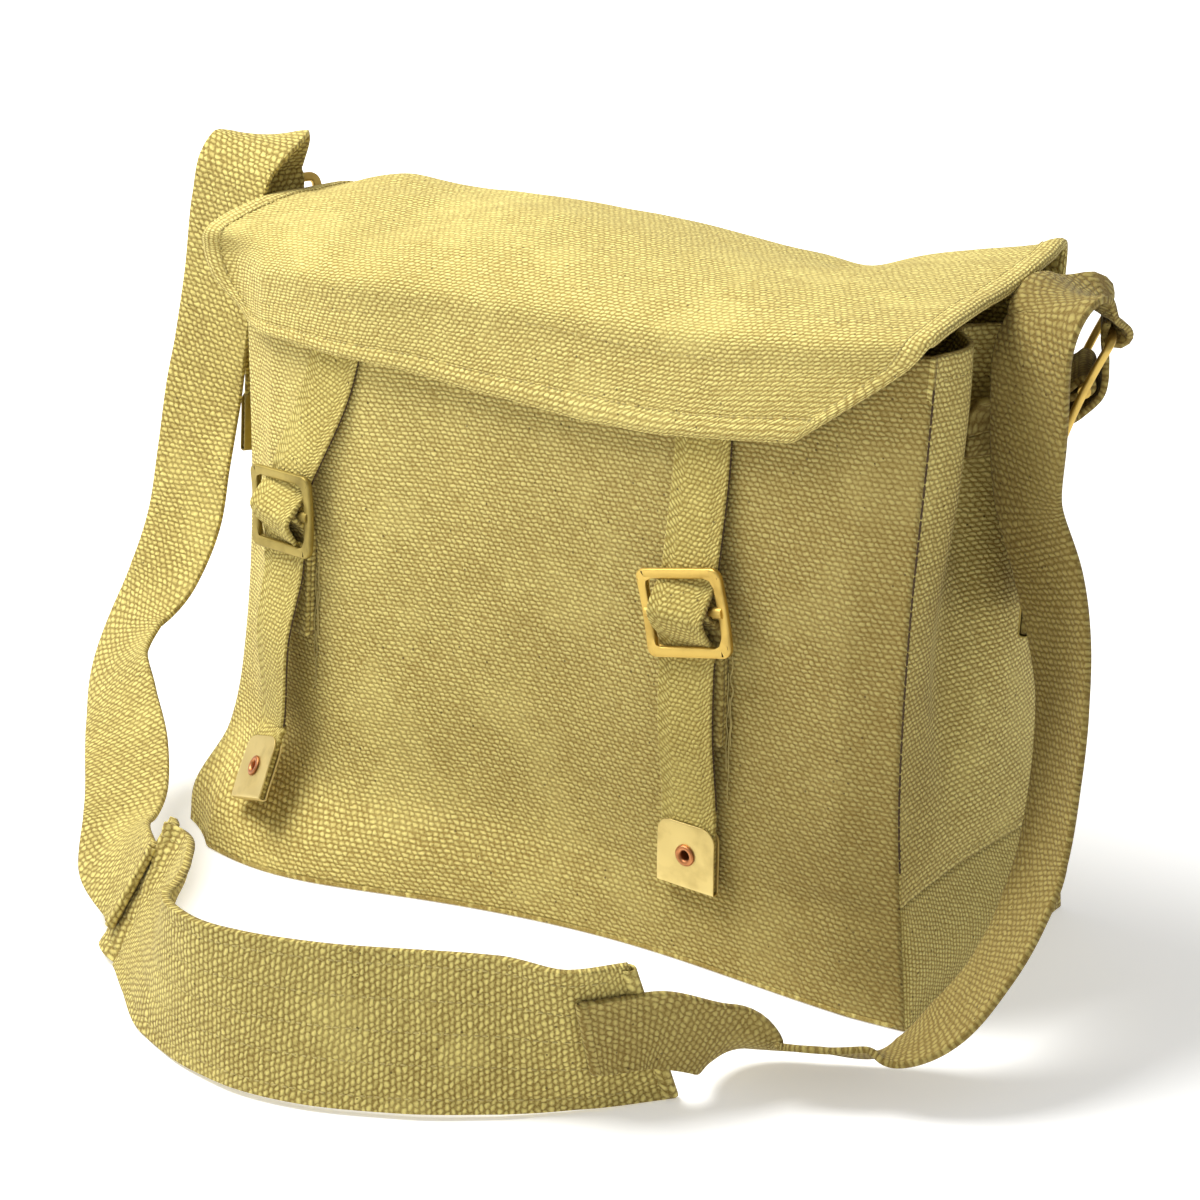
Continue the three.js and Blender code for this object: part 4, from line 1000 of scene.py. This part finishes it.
def eyelet(name, node, route, length, thickness):
    """Copper tube through the tip, its ends rolled out flat."""
    place, along, side, face = route.at(1)
    up = -along
    reach = thickness / 2 + gap + tip_sheet + gap
    rim = [
        (0.0021, -0.0004), (0.0026, eyelet_rim), (0.0036, eyelet_rim), (0.0045, 0.0001), (0.0028, -0.0002),
    ]
    rows = [(x, -reach - z) for x, z in rim] + [(x, reach + z) for x, z in reversed(rim)]
    mesh = bmesh.new()
    points = [mesh.verts.new((x, 0, z)) for x, z in rows]
    ring = [mesh.edges.new((point, after)) for point, after in zip(points, points[1:] + points[:1])]
    bmesh.ops.spin(
        mesh, geom=points + ring, cent=(0, 0, 0), axis=(0, 0, 1), angle=math.tau, steps=28,
        use_merge=True,
    )
    bmesh.ops.remove_doubles(mesh, verts=mesh.verts, dist=1e-6)
    bmesh.ops.recalc_face_normals(mesh, faces=mesh.faces)
    standing = placed(place + up * length / 2, side, up, side.cross(up))
    bmesh.ops.transform(mesh, matrix=standing, verts=mesh.verts)
    for face in mesh.faces:
        face.smooth = True
    to_object(name, mesh, copper, [node])


def share_below(high, low, top):
    return min(max((top - high) / (top - low), 0), 1)


def tape_relief(across):
    """Selvedges stand a little proud of the middle of the tape."""
    return 0.00025 * (bell((across - 0.12) / 0.07) + bell((across - 0.88) / 0.07))


# Side, place across, how far the strap leans above the buckle and kicks below it in widths,
# swing of the tip in tip lengths, twist in degrees, sink of the tip, roll in degrees,
# how far the chape stands aside, and the buckle's finish
closures = (
    ("left", -0.266 * 2 * half_width, -1.05, -0.12, 0.4, 15, 0.0115, 14, 0.001, dull_brass),
    ("right", 0.237 * 2 * half_width, -0.06, 0, 0, 0, 0, 13, 0.003, brass),
)
# Loose threads at the chape's edge: their lower and upper ends, and how far past the edge
strands = ((0.075, 0.118, 0.001), (0.098, 0.135, 0.0016), (0.088, 0.128, -0.0002))
for word, start, lean, kick, swing, twist, sink, roll, aside, finish in closures:
    tip_height = closure_tip_height - sink

    def on_front(high, lift, beyond=0):
        above = lean * share_below(high, closure_buckle_height, flap_edge_height)
        under = kick * share_below(high, tip_height, closure_buckle_height)
        across = start + (above + under) * tape_width + beyond
        return rest_on(front, place_on(front, across, high), tape_width, lift)

    def turned(row, angle):
        return row[0], Matrix.Rotation(-math.radians(angle), 3, "Z") @ row[1]

    centre, side = on_front(closure_buckle_height, closure_buckle_out)
    above = on_front(closure_buckle_height + tape_buckle[1] / 2, closure_buckle_out)[0]
    below = on_front(closure_buckle_height - tape_buckle[1] / 2, closure_buckle_out)[0]
    up = (above - below).normalized()
    level = (side - up * side.dot(up)).normalized()
    out = level.cross(up)

    def beside(along, reach):
        return centre + up * along + out * reach, level

    above_buckle = mix(strap_top, closure_buckle_height, 0.35)
    rows = [on_front(strap_top, closure_lay), on_front(above_buckle, closure_lay + gap)]
    slip = math.sin(math.radians(roll)) * tape_width / 2
    rows += [beside(*stop) for stop in strap_through(tape_buckle[1], tape_thickness, slip)]
    hang = swing * tip_length
    over_chape = closure_lay + 2 * (gap + tape_thickness) + 3 * gap
    below_bar = closure_buckle_height - tape_buckle[1] * 0.68
    rows.append(on_front(below_bar, over_chape))
    hanging = on_front(mix(closure_buckle_height, tip_height, 0.42), over_chape + hang / 2)
    rows.append(turned(hanging, twist / 2))
    tip_top = turned(on_front(tip_height + tip_length, closure_tip_out + hang), twist)
    tip_low = on_front(tip_height, closure_tip_out + hang)
    fall = (tip_low[0] - tip_top[0]).normalized() * tip_length
    rows += [(tip_top[0] - fall * 0.3, tip_top[1]), tip_top, (tip_top[0] + fall, tip_top[1])]
    route = Route(rows)
    band(
        f"closure_tape_{word}", route, tape_width, tape_thickness, tape, f"closure_strap_{word}",
        11, 18, tape_relief, tip_length,
    )

    # Painted shadow: near-black stitches just past the tape's right edge, above and below the buckle, stand
    # for the shadow between the tape and the front panel.
    tape_face = route.face_spot(tape_width, 0.0004)
    edges = [((1.004, 0.02), (1.004, 0.2)), ((1.004, 0.62), (1.004, 0.84))]
    sew(f"closure_edge_painted_shadow_{word}", tape_face, edges, 0.0021, 0.0026, 0.0009, dark_thread_and_shade)
    tip(
        f"closure_cap_{word}", f"closure_{word}_tip", route, tape_width, tip_length, tape_thickness,
        sheet_brass,
    )
    eyelet(f"closure_ring_{word}", f"closure_{word}_eyelet", route, tip_length, tape_thickness)
    spin = Matrix.Rotation(math.radians(roll), 3, out)
    rolled_level, rolled_up = spin @ level, spin @ up
    buckle(
        f"closure_frame_{word}", f"closure_buckle_{word}", tape_buckle, centre, rolled_level, rolled_up,
        finish,
    )
    behind = chape_behind(tape_buckle[1], tape_thickness, 0.27)
    sewn = closure_buckle_height - closure_chape_length
    outer_lay = closure_lay + gap + tape_thickness
    chape(
        f"closure_loop_{word}", f"closure_chape_{word}", tape_width - 0.001, tape_thickness,
        beside(0, -bow / 2)[0], rolled_up, out, rolled_level,
        *[
            [(centre + rolled_up * stop[0] + out * stop[1], rolled_level)]
            + [on_front(high, lay, aside) for high in (below_bar, sewn)]
            for stop, lay in zip(behind, (outer_lay, closure_lay))
        ],
    )
    for strand, (low, top, beyond) in enumerate(strands):
        spots = []
        for step in range(9):
            high = mix(low, top, step / 8)
            swerve = noise.noise(Vector((step * 0.9, strand * 5, start * 9))) * 0.0011
            spots.append(on_front(high, 0.0012, aside + tape_width / 2 + beyond + swerve)[0])
        loose_thread(f"chape_fray_{word}_{strand}", spots, 0.00028)

# Shoulder pad
# A 60 mm woven band stands on its long edge in a curve in front of the bag,
# stitched along its length in rows.
pad_width = 0.06
pad_thickness = 0.0032
# Across and depth as shares of the body, lift as a share of the width, turn and lean in degrees
pad_rows = [
    (0.742, -2.475, 0, -108, 74), (0.618, -2.88, 0, -90, 80), (0.495, -3.2, 0, 127, 84),
    (0.323, -3.52, 0, 121, 76.5), (0.15, -3.74, 0, 120, 77), (-0.034, -3.84, 0, 98, 82),
    (-0.22, -3.76, 0, 5, 76), (-0.38, -3.54, 0.01, -12, 66), (-0.503, -3.33, 0.03, 28, 62),
    (-0.608, -3.13, 0.035, 40, 56), (-0.68, -2.98, 0.045, 15, 53), (-0.735, -2.86, 0.05, 12, 51),
]


def direction(turn, lean):
    turn, lean = math.radians(turn), math.radians(lean)
    return Vector((math.cos(lean) * math.cos(turn), math.cos(lean) * math.sin(turn), math.sin(lean)))


def pad_row(row, slant):
    side = direction(row[3], row[4])
    low = Vector((row[0] * half_width, row[1] * half_depth, row[2] * pad_width + pad_thickness / 2))
    return low + side * pad_width / 2, side, 1, slant


pad_slants = [0.35, 0.1] + [0] * (len(pad_rows) - 2)
pad_route = Route([pad_row(row, slant) for row, slant in zip(pad_rows, pad_slants)])
pad_length = pad_route.length()
pad_seams = (0.09, 0.3, 0.5, 0.7, 0.91)


def pad_relief(across):
    """The rows of stitching draw the pad in."""
    return -0.0004 * sum(bell((across - seam) / 0.03) for seam in pad_seams)


pad = band(
    "shoulder_pad_band", pad_route, pad_width, pad_thickness, pad_webbing, "shoulder_pad",
    14, 40, pad_relief,
)
pad_face = pad_route.face_spot(pad_width, pad_thickness / 2 - 0.00035)
rows = [((seam, 0.03), (seam, 0.97)) for seam in pad_seams]
sew("shoulder_pad_thread", pad_face, rows, pitch, 0.0024, 0.0008, pale_thread)
rolled_end(
    "shoulder_pad_hem_right", pad_route, pad_width * 0.96, 0.004, 0.0028, 0.0032, 0.0004, pad_webbing,
)

# Shoulder straps
# 38 mm webbing from each end of the pad, up past the gusset, over and down through a brass
# buckle that hangs from a folded loop sewn to the gusset; the free end has a brass tip.
strap_width = 0.038
strap_thickness = 0.0024
shoulder_buckle = (0.056, 0.044, 0.005)
shoulder_tip = 0.027
# Across, depth and height as shares of the body, turn and lean in degrees
strap_tables = {
    "right": [
        (0.817, -2.372, 0.097, -82, 70), (0.868, -2.05, 0.061, -62, 32), (0.976, -1.87, 0.056, -62, 30),
        (1.058, -1.74, 0.055, -60, 34), (1.11, -1.67, 0.06, -54, 22), (1.198, -1.52, 0.106, -42, 15),
        (1.249, -1.29, 0.165, -38, 21), (1.269, -1.02, 0.225, -37, 22), (1.269, -0.76, 0.292, -37, 22),
        (1.258, -0.55, 0.398, -38, 23), (1.241, -0.42, 0.506, -37, 22), (1.214, -0.35, 0.587, -31, 20),
        (1.175, -0.32, 0.676, -26, 19), (1.115, -0.29, 0.774, -28, 17), (1.11, -0.31, 0.885, -22, 14),
        (1.112, -0.31, 0.992, -21, 12), (1.125, -0.21, 1.04, -26, 6), (1.128, 0, 1.053, -38, 1),
        (1.14, 0.2, 1.038, -54, 0),
    ],
    "left": [
        (-0.79, -2.525, 0.112, 12, 30), (-0.865, -2.19, 0.146, 10, 12), (-0.965, -1.87, 0.178, 8, 11),
        (-1.087, -1.55, 0.212, -3, 16), (-1.19, -1.25, 0.25, -17, 13), (-1.222, -0.97, 0.303, -11, 10),
        (-1.2, -0.71, 0.374, -3, -6), (-1.194, -0.48, 0.458, 5, -5), (-1.202, -0.32, 0.554, 10, 6),
        (-1.202, -0.19, 0.654, 12, 6), (-1.186, -0.13, 0.74, 6, 6), (-1.157, -0.08, 0.866, 2, 0),
        (-1.134, -0.03, 0.996, 2, 2), (-1.118, 0.04, 1.058, 9, -2), (-1.11, 0.19, 1.086, 23, -4),
        (-1.13, 0.4, 1.085, 48, -2),
    ],
}
tail_tables = {
    "right": [(1.09, 0.24, 0.77, -72, 0), (1.07, 0.22, 0.655, -76, 0)],
    "left": [(-1.09, 0.34, 0.77, 66, 0), (-1.07, 0.28, 0.665, 66, 0)],
}
sewn_rows = (0.875, 0.85, 0.815)


def band_row(row):
    return Vector((row[0] * half_width, row[1] * half_depth, row[2] * height)), direction(row[3], row[4])


shoulder_turn = 66
shoulder_tilt = math.radians(22)
# Side, hand, the buckle's place as shares, place along the gusset where its chape is sewn, and the
# strap's end on the pad: overlap, lift, share of the width that the gathers leave and slant
shoulder_sides = (
    ("right", 1, 1.13, 0.36, 0.922, 0.66, 0.025, 0.003, 0.84, -0.24),
    ("left", -1, 1.146, 0.46, 0.93, 0.325, 0.009, 0, 1, 0),
)
for word, hand, across, deep, high, sewn_at, overlap, lift, wide, slant in shoulder_sides:
    side = direction(hand * -shoulder_turn, 0)
    level = Vector((-side.y, side.x, 0))
    up = Vector((0, 0, math.cos(shoulder_tilt))) + level * math.sin(shoulder_tilt)
    out = level * math.cos(shoulder_tilt) + Vector((0, 0, -math.sin(shoulder_tilt)))
    centre = Vector((hand * across * half_width, deep * half_depth, high * height))
    buckle(
        f"shoulder_frame_{word}", f"shoulder_buckle_{word}", shoulder_buckle, centre, up.cross(out), up,
        brass,
    )
    pad_lift = (pad_thickness + strap_thickness) / 2 + 2 * gap + facet_slack

    def on_pad(gone, turn):
        share = pad_route.share_at(gone if hand > 0 else pad_length - gone)
        place, way, across_pad, face = pad_route.at(share)
        return place + face * pad_lift + across_pad * lift, across_pad, wide, turn

    climb = [band_row(row) for row in strap_tables[word]]
    climb[0] = (*climb[0], wide, 0)
    rows = [on_pad(overlap, slant), on_pad(overlap / 2, 0), on_pad(0, 0)] + climb
    for stop, reach in strap_through(shoulder_buckle[1], strap_thickness):
        rows.append((centre + up * stop + out * reach, side))
    rows += [band_row(row) for row in tail_tables[word]]
    end, way = rows[-1]
    down = Vector((0, -0.1, -1)).normalized() * shoulder_tip
    rows.insert(-1, (end - down * 0.3, way))
    rows.append((end + down, way))
    route = Route(rows)
    band(
        f"shoulder_band_{word}", route, strap_width, strap_thickness, webbing, f"shoulder_strap_{word}",
        10, 24, tape_relief, shoulder_tip,
    )
    rolled_end(
        f"shoulder_hem_{word}", route, strap_width * 0.98, 0.002, 0.0021, 0.0026, 0.0006, webbing,
    )

    if hand > 0:
        face = route.face_spot(strap_width, strap_thickness / 2 + 0.0001)
        sewn_share = route.share_at(overlap * 0.6)
        fixing = [((0.06, sewn_share), (0.94, sewn_share))]
        sew(f"shoulder_end_thread_{word}", face, fixing, 0.0028, 0.0022, 0.0009, dark_thread_and_shade)
    tip(
        f"shoulder_cap_{word}", f"shoulder_{word}_tip", route, strap_width, shoulder_tip, strap_thickness,
        dull_brass,
    )
    eyelet(f"shoulder_ring_{word}", f"shoulder_{word}_eyelet", route, shoulder_tip, strap_thickness)
    wall = right if hand > 0 else left

    def sewn(up_share, lift):
        place, way = rest_on(wall, (sewn_at, up_share), strap_width, lift)
        return place, (-way if way.dot(side) < 0 else way)

    lay = gap + 3 * facet_slack + strap_thickness / 2
    outer_lay = lay + gap + strap_thickness
    behind = chape_behind(shoulder_buckle[1], strap_thickness, 0.2)
    chape(
        f"shoulder_loop_{word}", f"shoulder_chape_{word}", strap_width - 0.001, strap_thickness,
        centre - out * bow / 2, up, out, side,
        *[
            [(centre + up * stop[0] + out * stop[1], side)] + [sewn(share, seat) for share in sewn_rows]
            for stop, seat in zip(behind, (outer_lay, lay))
        ],
    )
